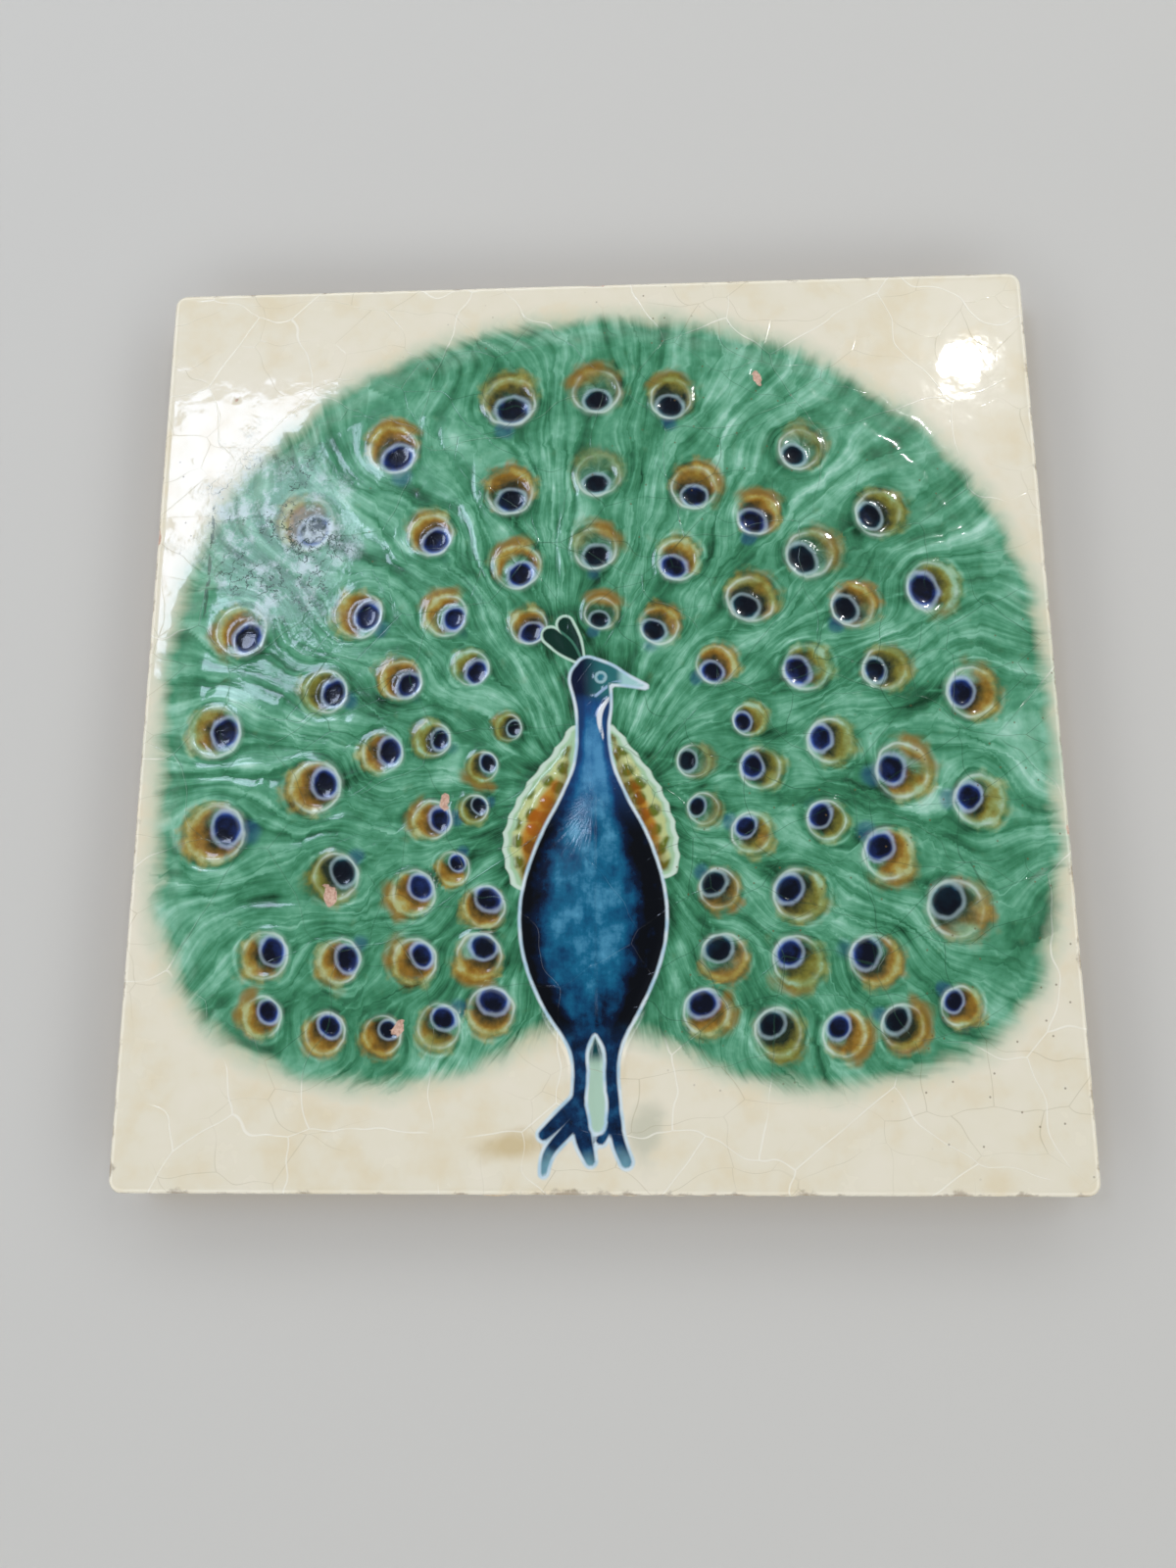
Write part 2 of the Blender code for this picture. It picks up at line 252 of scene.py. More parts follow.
# %% [markdown]
# Each eye is a raised ring with a second, smaller ring in it, set towards the bird. Every point of
# the face belongs to its nearest eye and keeps its distances to that eye's two rings, so that the
# glazes can be laid to the rings' exact edges later.


# %% Distances to the nearest eye
RING_PLACES = ("rim_aside", "rim_ahead", "pupil_aside", "pupil_ahead")


def eye_fields(x, y):
    """For each place: distances to the nearest eye's two rings, its place on the feather and its number.

    The ring places are where a point lies from the middle of each ring, in that ring's radius, so their
    length is 1 on the ring. Own falls to 0 half-way to the next eye, where the nearest one changes. Stem
    is the distance to the nearest shaft, a gently bent line towards the bird. Spill and drip are soft
    shares of amber that ran out to one side of an eye and of blue that ran down from its pupil.
    """
    fields = {name: np.full(x.shape, 9.0) for name in ("rim", "pupil", "ahead", "stem", *RING_PLACES)}
    fields |= {name: np.zeros(x.shape) for name in ("number", "spill", "drip")}
    nearest, second = np.full(x.shape, 1e3), np.full(x.shape, 1e3)
    for number, (eye_x, eye_y, size, outward) in enumerate(EYES):
        near = (np.abs(x - eye_x) < 4.5 * size) & (np.abs(y - eye_y) < 4.5 * size)
        over_x, over_y = x[near] - eye_x, y[near] - eye_y
        ahead = over_x * np.cos(outward) + over_y * np.sin(outward)
        aside = over_y * np.cos(outward) - over_x * np.sin(outward)
        stretch = 1.0 + 0.06 * uneven(number + 190.0)
        rim_places = stretch * aside, ahead - 0.24 * size
        rim = np.hypot(*rim_places) - size
        off_side = 0.12 * uneven(number + 150.0) * size
        wide = PUPIL_SHARE + 0.07 * uneven(number + 170.0)
        pupil_places = 0.92 * (aside - off_side), 1.06 * (ahead + 0.18 * size)
        pupil = np.hypot(*pupil_places) - wide * size
        bent = aside - 0.12 * uneven(number + 70.0) * (ahead + 0.8 * size) ** 2 / size
        beyond = np.maximum(np.maximum(ahead + 1.0 * size, -2.5 * size - ahead), 0.0)
        stem = np.hypot(bent, beyond) + 0.1 * np.clip(-1.0 * size - ahead, 0.0, 2.0 * size)
        lean = 1.3 * uneven(number + 90.0)
        side = (np.cos(lean) * ahead + np.sin(lean) * aside) / size
        spill = smooth_step(0.5, 1.5, side) * smooth_step(-3.2, 0.2, -rim)
        spill = spill * smooth_step(-0.2, 0.7, uneven(number + 110.0))
        fall = np.hypot(aside + 0.3 * size * np.sign(lean), ahead + 0.95 * size) / size
        drip = smooth_step(-0.75, -0.1, -fall) * smooth_step(0.0, 0.6, uneven(number + 130.0))

        closer = rim < nearest[near]
        second[near] = np.where(closer, nearest[near], np.minimum(second[near], rim))
        nearest[near] = np.where(closer, rim, nearest[near])
        own = {"rim": rim, "pupil": pupil, "ahead": ahead / size, "number": number}
        shares = [part / size for part in rim_places] + [part / (wide * size) for part in pupil_places]
        for name, value in (own | dict(zip(RING_PLACES, shares))).items():
            fields[name][near] = np.where(closer, value, fields[name][near])
        fields["stem"][near] = np.minimum(fields["stem"][near], stem)
        for name, value in (("spill", spill), ("drip", drip)):
            fields[name][near] = np.maximum(fields[name][near], value)
    fields["own"] = smooth_step(0.1, 0.9, second - nearest)
    return fields


def eye_height(fields, size):
    """Rings, the hollow between them, the well of the pupil and the shaft, in millimetres."""
    rim, pupil = fields["rim"], fields["pupil"]
    rings = np.exp(-((rim / RIDGE_WIDTH) ** 2)) + 0.6 * np.exp(-((pupil / RIDGE_WIDTH) ** 2))
    hollow = smooth_step(0.1, 1.4, -rim) * smooth_step(0.0, 0.9, pupil)
    well = smooth_step(0.0, 1.0, -pupil / (0.22 * size))
    shaft = 0.5 * np.exp(-((fields["stem"] / 0.5) ** 2)) * smooth_step(-0.4, 0.6, rim)
    return RIDGE_RISE * np.minimum(rings + shaft, 1.0) - EYE_DISH * hollow - PUPIL_DISH * well


# %% [markdown]
# The barbs run outward from the bird and part round each eye, as water runs round stones. That is
# the flow from a spring past round posts, which has a formula: the logarithm of the place seen from
# the spring, plus one term over the distance for each post. Its real part runs along the barbs and
# its imaginary part counts across them.


# %% The run of the barbs
FLOW_SPRING = complex(0.0, -16.0)
STRANDS_ROUND = 21.0
STRAND_STRETCH = 3.0


def barb_flow(x, y):
    """Across and along the barbs: log of (z - spring) plus a2 U / (z - post) for each eye as a post."""
    place = x + 1j * y
    flow = np.log((place - FLOW_SPRING) / 1j + 1e-6)
    for eye_x, eye_y, size, outward in EYES:
        post = complex(eye_x, eye_y) + 0.28 * size * np.exp(1j * outward)
        radius = 1.12 * size
        near = np.abs(place - post) < 6.0 * size
        gap = place[near] - post
        gap *= np.maximum(0.75 * radius / np.maximum(np.abs(gap), 1e-6), 1.0)
        flow[near] += radius**2 * np.conj(1.0 / (post - FLOW_SPRING)) / gap
    sway = 0.09 * lattice_noise(x / 15.0, y / 15.0, 3.0) + 0.006 * lattice_noise(x / 7.0, y / 7.0, 5.0)
    return flow.imag + sway, flow.real


def strand_height(across, along, reach):
    """Broad locks of barbs from 0 to 1: three layers of stretched noise, left out where too fine to show."""
    total, weight = np.zeros(across.shape), 0.0
    for layer, (rounds, amount) in enumerate(((1.0, 1.0), (2.0, 0.75), (4.0, 0.5))):
        shown = smooth_step(0.45, 1.2, reach / (STRANDS_ROUND * rounds))
        stretched = along * STRAND_STRETCH * rounds**0.5
        noise = lattice_noise(across * STRANDS_ROUND * rounds, stretched, 11.0 + layer)
        total += amount * shown * noise
        weight += amount
    return 0.5 + 0.9 * total / weight


# %% [markdown]
# ## The bird
#
# Body, neck, crest, wings, legs and toes are strokes laid over the tail, one after the other. Inside
# its raised line the body has a deep channel, where the blue glaze pools almost black, round a dome.

# %% The bird's strokes
BODY = (
    (-0.6, 3.7, 3.3),
    (0.0, -0.5, 2.9),
    (-0.1, -5.0, 2.55),
    (0.0, -11.0, 3.2),
    (0.0, -18.0, 5.8),
    (0.0, -27.0, 9.9),
    (-0.2, -35.0, 11.7),
    (-0.4, -43.0, 9.3),
    (-0.1, -53.0, 3.8),
)
BEAK = ((-0.9, 5.3, 2.1), (2.3, 4.5, 1.7), (5.2, 3.5, 0.9), (8.7, 2.3, 0.25))
LEGS = (
    ((-2.4, -52.0, 1.5), (-2.3, -58.0, 1.15), (-2.6, -62.5, 1.1), (-2.5, -65.5, 1.3)),
    ((2.6, -52.0, 1.4), (2.5, -58.0, 1.05), (2.7, -62.0, 1.1), (3.0, -66.0, 1.1)),
)
TOES = (
    ((-2.8, -62.6, 1.2), (-5.4, -65.0, 1.25), (-8.0, -67.3, 1.0)),
    ((-3.2, -65.6, 1.1), (-6.0, -68.3, 1.0), (-7.5, -70.4, 0.85), (-8.0, -72.8, 0.6)),
    ((-2.6, -64.0, 1.3), (-1.8, -68.0, 1.45), (-0.8, -71.0, 0.9)),
    ((2.4, -66.0, 0.6), (0.8, -67.9, 1.0)),
    ((2.8, -65.0, 1.15), (3.6, -68.5, 1.1), (4.7, -71.2, 1.0)),
)
CREST = (
    ((-2.4, 6.9, 0.5), (-4.7, 9.2, 1.5), (-7.1, 11.2, 1.5)),
    ((-2.0, 7.1, 0.5), (-3.4, 10.2, 1.4), (-4.7, 13.1, 1.4)),
)
WINGS = (
    ((-3.0, -5.0, 0.8), (-4.9, -10.0, 2.1), (-7.4, -16.0, 4.0), (-9.6, -22.4, 4.8), (-10.6, -27.6, 2.9)),
    ((2.8, -5.0, 0.8), (4.5, -9.5, 2.2), (7.3, -15.5, 3.4), (9.3, -21.0, 3.6), (10.8, -26.0, 2.6)),
)
# Lines inside the head: the cheek from throat to beak, and the pale stripe down the throat
CHEEK = ((0.3, 0.8, 0.12), (1.9, 2.1, 0.12), (3.2, 3.0, 0.12), (4.8, 3.3, 0.12))
THROAT = ((2.7, 0.6, 0.2), (1.3, -1.4, 0.45), (1.0, -3.6, 0.4), (1.8, -6.8, 0.1))
BIRD_EYE, BIRD_EYE_RADIUS = (1.25, 4.0), 0.85
BETWEEN_LEGS = (
    (0.0, -52.8, 0.3),
    (0.1, -55.6, 1.4),
    (0.2, -59.8, 1.1),
    (0.3, -62.5, 1.5),
    (0.3, -66.0, 1.2),
)

# %% [markdown]
# A figure is pressed over what lies behind it: its raised line stands on its edge, and the tail's
# barbs stop there. Where two strokes of one body meet, the corner between them is rounded.


# %% Laying a figure over the tail
def laid_over(height, edge, base, inside):
    """A figure with a raised line on its edge and its own height inside, over what lies behind it."""
    cover = smooth_step(-0.3, 0.3, -edge)
    line = RIDGE_RISE * np.exp(-((edge / RIDGE_WIDTH) ** 2))
    behind = height + (base - height) * smooth_step(-1.2, 0.0, -edge)
    return behind + (base + inside - behind) * cover + line


def blended(first, second, reach=1.1):
    """The nearer of two distances, rounded where they cross: a smooth minimum over the given reach."""
    share = np.clip(0.5 + 0.5 * (second - first) / reach, 0.0, 1.0)
    return second + (first - second) * share - reach * share * (1.0 - share)


# %% [markdown]
# Small round feathers cover the wings in leaning rows, like bricks. A lattice with every other row
# half a step on gives them, each a little off its place.

# %% Beads of the wings
BEAD_PITCH, BEAD_TURN = 2.75, 0.45


def bead_fields(x, y):
    """Distance to the nearest bead's middle, in bead pitches, and the bead's number from 0 to 1.

    The lattice is turned by the lean, mirrored from wing to wing, and the nine beads round are tried.
    """
    side = np.sign(x)
    turned_x = (x * np.cos(BEAD_TURN) * side + y * np.sin(BEAD_TURN)) / BEAD_PITCH
    turned_y = (y * np.cos(BEAD_TURN) - x * np.sin(BEAD_TURN) * side) / BEAD_PITCH
    best, number = np.full(x.shape, 9.0), np.zeros(x.shape)
    for step_row in (-1, 0, 1):
        row = np.floor(turned_y) + step_row
        for step_column in (-1, 0, 1):
            column = np.floor(turned_x - 0.5 * (row % 2)) + step_column
            key = column * 7.31 + row * 3.77 + side
            middle_x = column + 0.5 + 0.5 * (row % 2) + 0.16 * np.sin(9.1 * key)
            middle_y = row + 0.5 + 0.14 * np.sin(5.3 * key)
            gap = np.hypot(turned_x - middle_x, 1.15 * (turned_y - middle_y))
            number = np.where(gap < best, np.modf(np.abs(np.sin(key) * 97.0))[0], number)
            best = np.minimum(best, gap)
    return best, number


# %% [markdown]
# Height and glazes need the same distances to the parts of the bird, so they are worked out once.


# %% Fields of the bird
def bird_fields(x, y):
    """Distances to the bird's parts, negative inside.

    Core is the depth in the body as a share of its half-width there, and high is the place in y.
    """
    union = np.minimum.reduce
    body, legs, toes, wings = (
        union([stroke_distance(x, y, stations) for stations in strokes])
        for strokes in ((BODY, BEAK), LEGS, TOES, WINGS)
    )
    between = stroke_distance(x, y, BETWEEN_LEGS)
    scallop = 0.35 * np.abs(np.sin(1.15 * y + 0.6 * np.sign(x)))
    fields = {
        "body": np.maximum(blended(body, blended(legs, toes, 0.4), 1.6), -between),
        "front_plume": stroke_distance(x, y, CREST[0]),
        "back_plume": stroke_distance(x, y, CREST[1]),
        "wing": wings + scallop - 0.2,
        "cheek": stroke_distance(x, y, CHEEK),
        "throat": stroke_distance(x, y, THROAT),
        "between": between,
        "face": np.hypot(x - BIRD_EYE[0], y - BIRD_EYE[1]) - BIRD_EYE_RADIUS,
    }
    fields["bead"], fields["bead_number"] = bead_fields(x, y)
    line = spine(BODY)[::-1]
    half_width = np.interp(y, line[:, 1], line[:, 2])
    fields["core"] = np.clip(-body / half_width, -1.0, 1.0) - 0.012 * x
    fields["high"] = y
    return fields


# %% [markdown]
# The parts are laid in the order in which they overlap: crest, wings, the body with its legs, and
# last the fine lines of the head.


# %% Height of the bird
def bird_height(x, y, fields, height):
    """The bird laid over the height of the tail, in millimetres."""
    for stations in CREST:
        height = laid_over(height, stroke_distance(x, y, stations), FAN_RISE, 0.0)
    for stations in WINGS:
        edge = stroke_distance(x, y, stations)
        beads = 0.22 * (1.0 - smooth_step(0.15, 0.5, fields["bead"])) * smooth_step(0.8, 1.6, -edge)
        height = laid_over(height, edge, FAN_RISE, WING_RISE * smooth_step(0.4, 2.6, -edge) + beads - 0.1)
    body = fields["body"]
    dome = BODY_RISE * smooth_step(0.5, 11.5, -body) - MOAT_DEPTH * smooth_step(0.3, 1.6, -body)
    base = FAN_RISE * (0.25 + 0.75 * smooth_step(-62.0, -48.0, y))
    height = laid_over(height, body, base, dome)
    lines = np.exp(-((fields["cheek"] / 0.3) ** 2)) + np.exp(-((fields["face"] / 0.35) ** 2))
    stripe = smooth_step(-0.3, 0.2, -fields["throat"])
    return height + 0.3 * np.minimum(lines + stripe, 1.0) * smooth_step(0.2, 0.9, -body)


# %% [markdown]
# ## Damage
#
# Glaze has flaked from a few places and shows the pinkish clay, and the top edge has a nick.

# %% Chips in the glaze: x, y, half-width, half-height, lean
CHIPS = (
    (-42.7, -31.3, 1.1, 1.9, 0.3),
    (-30.9, -51.6, 1.2, 0.9, 0.9),
    (-24.4, -16.3, 0.8, 1.3, 0.0),
    (28.8, 57.2, 0.6, 1.5, 0.2),
    (-63.7, 55.4, 0.35, 0.5, 0.0),
    (0.4, 76.2, 1.6, 0.7, 0.0),
    (-75.9, 30.0, 0.5, 1.4, 0.0),
    (76.1, -22.0, 0.5, 1.1, 0.0),
)
CHIP_DEPTH = 0.3
WORN_MIDDLE, WORN_REACH = (-55.0, 30.0), (15.0, 20.0)
# Middle x, middle y and half-length of an upright scratch
SCRATCH = (-66.3, 25.5, 10.5)


def chip_distance(x, y):
    """Distance to the edge of the nearest chip, negative inside: leaning ellipses with a ragged edge."""
    ragged = 0.35 * lattice_noise(x / 0.7, y / 0.7, 21.0) + 0.2 * lattice_noise(x / 0.35, y / 0.35, 22.0)
    best = np.full(x.shape, 9.0)
    for chip_x, chip_y, wide, tall, lean in CHIPS:
        over_x = (x - chip_x) * np.cos(lean) + (y - chip_y) * np.sin(lean)
        over_y = (y - chip_y) * np.cos(lean) - (x - chip_x) * np.sin(lean)
        best = np.minimum(best, (np.hypot(over_x / wide, over_y / tall) - 1.0) * min(wide, tall))
    return best + ragged * (best < 2.0)


# %% [markdown]
# ## The face as one surface
#
# All the fields are worked out on one grid of the face, at about half a millimetre, which keeps the
# finest raised line two to three cells wide and the piece under 200,000 triangles.


# %% Grid of the face
def grid_lines():
    """Where the grid's lines lie: even across the face, then down the quarter round of its edge."""
    half = 0.5 * SIDE
    even = np.linspace(-half + EDGE_ROUND, half - EDGE_ROUND, FACE_CELLS - 2 * EDGE_CELLS + 1)
    turn = np.linspace(0.0, 0.5 * np.pi, EDGE_CELLS + 1)[1:]
    arc = half - EDGE_ROUND + EDGE_ROUND * np.sin(turn)
    return np.concatenate([-arc[::-1], even, arc])


def rounded_square(x, y):
    """Draws the corners of a square grid of places in to the tile's corner arcs."""
    flat = 0.5 * SIDE - CORNER_RADIUS
    over_x, over_y = np.abs(x) - flat, np.abs(y) - flat
    corner = (over_x > 0.0) & (over_y > 0.0)
    reach = np.maximum(np.hypot(over_x, over_y), 1e-9)
    draw = np.where(corner, np.maximum(over_x, over_y) / reach, 1.0)
    x = np.where(corner, np.sign(x) * (flat + over_x * draw), x)
    y = np.where(corner, np.sign(y) * (flat + over_y * draw), y)
    return x, y


def edge_gap(x, y):
    """Distance in from the tile's outline."""
    half = 0.5 * SIDE
    flat = half - CORNER_RADIUS
    over_x, over_y = np.abs(x) - flat, np.abs(y) - flat
    corner = (over_x > 0.0) & (over_y > 0.0)
    straight = half - np.maximum(np.abs(x), np.abs(y))
    return np.where(corner, CORNER_RADIUS - np.hypot(over_x, over_y), straight)


# %% [markdown]
# The height adds up in the order of the modeller's work: a cushion for the tail, barbs outside the
# eyes, rings and wells inside them, the bird over both, the chips, and the soft edge of the tile.


# %% Fields and height of the face
def face_fields(x, y):
    """Every field of the face at places in metres, and its height over the back, also in metres."""
    px, py = x / PICTURE, y / PICTURE
    across, along = barb_flow(px, py)
    reach = np.abs(px + 1j * py - FLOW_SPRING)
    strand = strand_height(across, along, reach)
    tuft = 1.6 * lattice_noise(across * 24.0, along * 2.0, 31.0)
    tuft += 0.9 * lattice_noise(across * 55.0, along * 3.0, 32.0)
    fan = fan_distance(px, py)
    fields = {"fan": fan, "across": across, "along": along, "strand": strand, "chip": chip_distance(px, py)}
    fields |= eye_fields(px, py)
    size = EYES[fields["number"].astype(int), 2]
    fields["rim_share"] = fields["rim"] * TYPICAL_EYE / size
    fields["pupil_share"] = fields["pupil"] * TYPICAL_EYE / size
    cushion = smooth_step(-1.0, FAN_EDGE_WIDTH, -(fan + 0.4 * tuft))
    in_eye = smooth_step(-0.4, 0.6, -fields["rim"])
    height = FAN_RISE * cushion + STRAND_RISE * (strand - 0.5) * cushion * (1.0 - in_eye)
    # The clay warps over about 9 mm, and its skin is uneven over 2.5 mm
    height += 0.03 * lattice_noise(px / 9.0, py / 9.0, 41.0) + 0.012 * lattice_noise(px / 2.5, py / 2.5, 42.0)
    height += cushion * eye_height(fields, size)
    near = (np.abs(px) < 20.0) & (py < 18.0)
    bird = bird_fields(px[near], py[near])
    for name, value in bird.items():
        fields[name] = np.full(px.shape, 5.0)
        fields[name][near] = value
    height[near] = bird_height(px[near], py[near], bird, height[near])
    pitted = 1.0 + 0.5 * lattice_noise(px, py, 43.0)
    height -= CHIP_DEPTH * smooth_step(-0.1, 0.35, -fields["chip"]) * pitted
    height = np.minimum(height, (high.z - BODY_THICKNESS) / MM)
    inward = np.clip(edge_gap(x, y), 0.0, EDGE_ROUND)
    drop = EDGE_ROUND - np.sqrt(np.maximum(EDGE_ROUND**2 - (EDGE_ROUND - inward) ** 2, 0.0))
    fields["edge"] = edge_gap(x, y) / MM
    return fields, BODY_THICKNESS - drop + height * MM


lines = grid_lines()
grid_x, grid_y = rounded_square(*np.meshgrid(lines, lines))
fields, grid_z = face_fields(grid_x, grid_y)
print("face:", grid_x.shape, "height in mm:", (np.array([grid_z.min(), grid_z.max()]) / MM).round(2))

# %% [markdown]
# ## Sides and back
#
# The sides drop straight from the face's edge. Old mortar stands out along part of the lower side,
# rough where it broke off the wall.


# %% Sides and mortar
SIDE_LEVELS = (MORTAR_TOP, MORTAR_TOP - 0.5 * MM, 0.5 * MORTAR_TOP, 0.0)


def mortar_reach(x, z):
    """How far the old mortar stands out from the lower side: a strip with an uneven, pitted face."""
    along = smooth_step(0.0, 4.0, MORTAR_REACH - np.abs(x / PICTURE))
    pits = 0.25 * lattice_noise(x / MM / 1.3, z / MM / 1.3, 51.0)
    pits = pits + 0.2 * lattice_noise(x / MM / 4.0, z / MM, 52.0)
    return MORTAR_DEPTH * along * (0.72 + pits) * smooth_step(0.0, 0.5 * MM, MORTAR_TOP - z)


# %% [markdown]
# The outline of the face's grid is carried down in rings, so sides and face share their vertices and
# the body closes without a seam.


# %% Face and sides as one mesh
def outline_order(count):
    """Numbers of the grid's outer vertices in order round it, starting at the lower left corner."""
    first, last = np.arange(count), np.arange(count - 1)
    bottom, right = first[:-1], last * count + count - 1
    top = (count - 1) * count + first[:0:-1]
    left = last[::-1] * count + count
    return np.concatenate([bottom, right, top, left])


def body_mesh():
    """The face's grid and the rings of the sides under its outline, open at the back."""
    count = len(lines)
    number = np.arange(count * count).reshape(count, count)
    quads = np.stack([number[:-1, :-1], number[:-1, 1:], number[1:, 1:], number[1:, :-1]], -1).reshape(-1, 4)
    ring = outline_order(count)
    places = [np.stack([grid_x, grid_y, grid_z], -1).reshape(-1, 3)]
    rim, upper, walls = places[0][ring], ring, []
    for level, height in enumerate(SIDE_LEVELS):
        below = rim.copy()
        below[:, 2] = height
        lowest = below[:, 1] < -0.5 * SIDE + 1e-6
        below[:, 1] -= np.where(lowest, mortar_reach(below[:, 0], height), 0.0)
        lower = count * count + level * len(ring) + np.arange(len(ring))
        walls.append(np.stack([upper, lower, np.roll(lower, -1), np.roll(upper, -1)], -1))
        places.append(below)
        upper = lower
    mesh = bpy.data.meshes.new("peacock_tile")
    mesh.from_pydata(np.concatenate(places).tolist(), [], np.concatenate([quads, *walls]).tolist())
    return mesh, len(quads)


# %% [markdown]
# Shallow pockets key the back to the mortar. Their walls slope, so that the clay leaves the mould,
# and their sizes are the solid's.


# %% Back and its pockets
def close_back(mesh):
    """Fills the back round its pockets, then sinks each pocket in with sloping walls."""
    builder = bmesh.new()
    builder.from_mesh(mesh)
    rim = [edge for edge in builder.edges if edge.is_boundary]
    half_length = 0.5 * SIDE - BACK_BORDER
    mouths = []
    for row in range(-POCKET_PAIRS, POCKET_PAIRS):
        middle = (row + 0.5) * POCKET_PITCH
        wide, tall = half_length + POCKET_DRAFT, 0.5 * POCKET_WIDTH + POCKET_DRAFT
        corners = [builder.verts.new((a * wide, middle + b * tall, 0.0)) for a, b in SQUARE]
        mouths.append([builder.edges.new((corners[i], corners[(i + 1) % 4])) for i in range(4)])
    edges = rim + [edge for mouth in mouths for edge in mouth]
    bmesh.ops.triangle_fill(builder, edges=edges, use_beauty=True)
    for row, mouth in enumerate(mouths):
        middle = (row - POCKET_PAIRS + 0.5) * POCKET_PITCH
        made = bmesh.ops.extrude_edge_only(builder, edges=mouth)["geom"]
        for corner in (item for item in made if isinstance(item, bmesh.types.BMVert)):
            corner.co.z = POCKET_DEPTH
            corner.co.x -= np.sign(corner.co.x) * POCKET_DRAFT
            corner.co.y -= np.sign(corner.co.y - middle) * POCKET_DRAFT
        edges = [item for item in made if isinstance(item, bmesh.types.BMEdge)][:4]
        bmesh.ops.edgeloop_fill(builder, edges=edges)
    bmesh.ops.recalc_face_normals(builder, faces=builder.faces)
    builder.to_mesh(mesh)
    open_edges = sum(not edge.is_manifold for edge in builder.edges)
    builder.free()
    return open_edges


mesh, face_quads = body_mesh()
print("edges left open:", close_back(mesh))
mesh.calc_loop_triangles()
print("triangles:", len(mesh.loop_triangles))

# %% [markdown]
# The fields ride on the mesh as attributes, one number per vertex, so that the materials read them.
# Tint and shade differ from one eye to the next, as the amounts of hand-laid glaze do.


# %% Attributes, smooth shading and the piece itself
def give(name, values):
    """One number per vertex: the face's field, and 0 on the sides and back, which come after it."""
    padded = np.zeros(len(mesh.vertices), np.float32)
    padded[: values.size] = values.ravel()
    mesh.attributes.new(name, "FLOAT", "POINT").data.foreach_set("value", padded)


for name, first in (("tint", 20.0), ("shade", 50.0)):
    fields[name] = np.array([uneven(first + k) for k in range(len(EYES))])[fields["number"].astype(int)]
for name, values in fields.items():
    give(name, values)

smooth = np.zeros(len(mesh.polygons), bool)
smooth[:face_quads] = True
mesh.polygons.foreach_set("use_smooth", smooth)
mesh.polygons.foreach_set("material_index", (~smooth).astype(np.int32))
tile = bpy.data.objects.new("peacock_tile", mesh)
bpy.context.scene.collection.objects.link(tile)
print("attributes:", len(fields), "faces of the glazed side:", face_quads)

# %% [markdown]
# ## Materials
#
# Colours are read in plain sRGB and turned linear. One function adds a node to the tree that
# is being filled: its inputs are values or links, by socket name or in order, its settings are the
# node's own, and stops fill a colour ramp. Three more put nodes together: a weighed sum, a product of
# soft masks, and glazes laid one over another.


# %% Colours and the node function
def linear(code):
    """An sRGB hex colour as linear red, green, blue and 1: the power curve, straight below 0.04045."""
    channels = np.array([int(code[i:i + 2], 16) for i in (0, 2, 4)]) / 255.0
    return (*np.where(channels <= 0.04045, channels / 12.92, ((channels + 0.055) / 1.055) ** 2.4), 1.0)


def empty_tree(owner):
    """The node tree of a new material or world, without the nodes that Blender puts in it."""
    owner.use_nodes = True
    owner.node_tree.nodes.clear()
    return owner.node_tree


def node(kind, inputs=(), out=0, stops=(), **settings):
    """Adds one shader node to the module's tree and gives one of its outputs."""
    made = tree.nodes.new("ShaderNode" + kind)
    for name, value in settings.items():
        setattr(made, name, value)
    for key, value in inputs.items() if isinstance(inputs, dict) else enumerate(inputs):
        if isinstance(key, str):
            key = [socket.identifier for socket in made.inputs].index(key)
        socket = made.inputs[key]
        if isinstance(value, bpy.types.NodeSocket):
            tree.links.new(value, socket)
        else:
            socket.default_value = value
    for number, (position, colour) in enumerate(stops):
        elements = made.color_ramp.elements
        element = elements[number] if number < 2 else elements.new(position)
        element.position, element.color = position, linear(colour)
    return made.outputs[out] if made.outputs else made


# %% Sums, masks and layers
def total(start, *terms):
    """A start plus each value times its share, where a term is (share, value)."""
    for share, value in terms:
        start = node("Math", (value, share, start), operation="MULTIPLY_ADD")
    return start


def product(*parts):
    """Parts multiplied: a value as it is, or (value, start, end) as a smooth step from 0 to 1."""
    made = None
    for part in parts:
        if isinstance(part, tuple):
            value, start, end = part
            limits = {"Value": value, "From Min": start, "From Max": end}
            part = node("MapRange", limits, interpolation_type="SMOOTHSTEP")
        made = part if made is None else node("Math", (made, part), operation="MULTIPLY")
    return made


def near_line(distance, reach, core=0.0):
    """1 where a signed distance is within the core, falling smoothly to 0 at the reach on both sides."""
    return product((node("Math", (distance,), operation="ABSOLUTE"), reach, core))


def flooded(below, *layers):
    """Glazes over what is below, one after the other, each (colour, share that it covers)."""
    for above, cover in layers:
        below, above = (linear(colour) if isinstance(colour, str) else colour for colour in (below, above))
        sockets = {"Factor_Float": cover, "A_Color": below, "B_Color": above}
        below = node("Mix", sockets, out=2, data_type="RGBA")
    return below


# %% [markdown]
# ## Majolica glazes
#
# The face is moulded clay under clear, coloured lead glazes that were flooded on wet. They shine like
# water, so each has a coat with a smooth surface over its colour. Masks come from the distances, each
# a little uneven, as wet glaze creeps. Depths come from the height's fields and feed one colour ramp
# for each glaze. All distances are in millimetres.

# %% What the glazes read
glazes = bpy.data.materials.new("majolica_glazes")
tree = empty_tree(glazes)
at = {name: node("Attribute", out=2, attribute_name=name) for name in fields}
place = node("VectorMath", {0: node("TexCoord", out=3), "Scale": 1.0 / MM}, operation="SCALE")

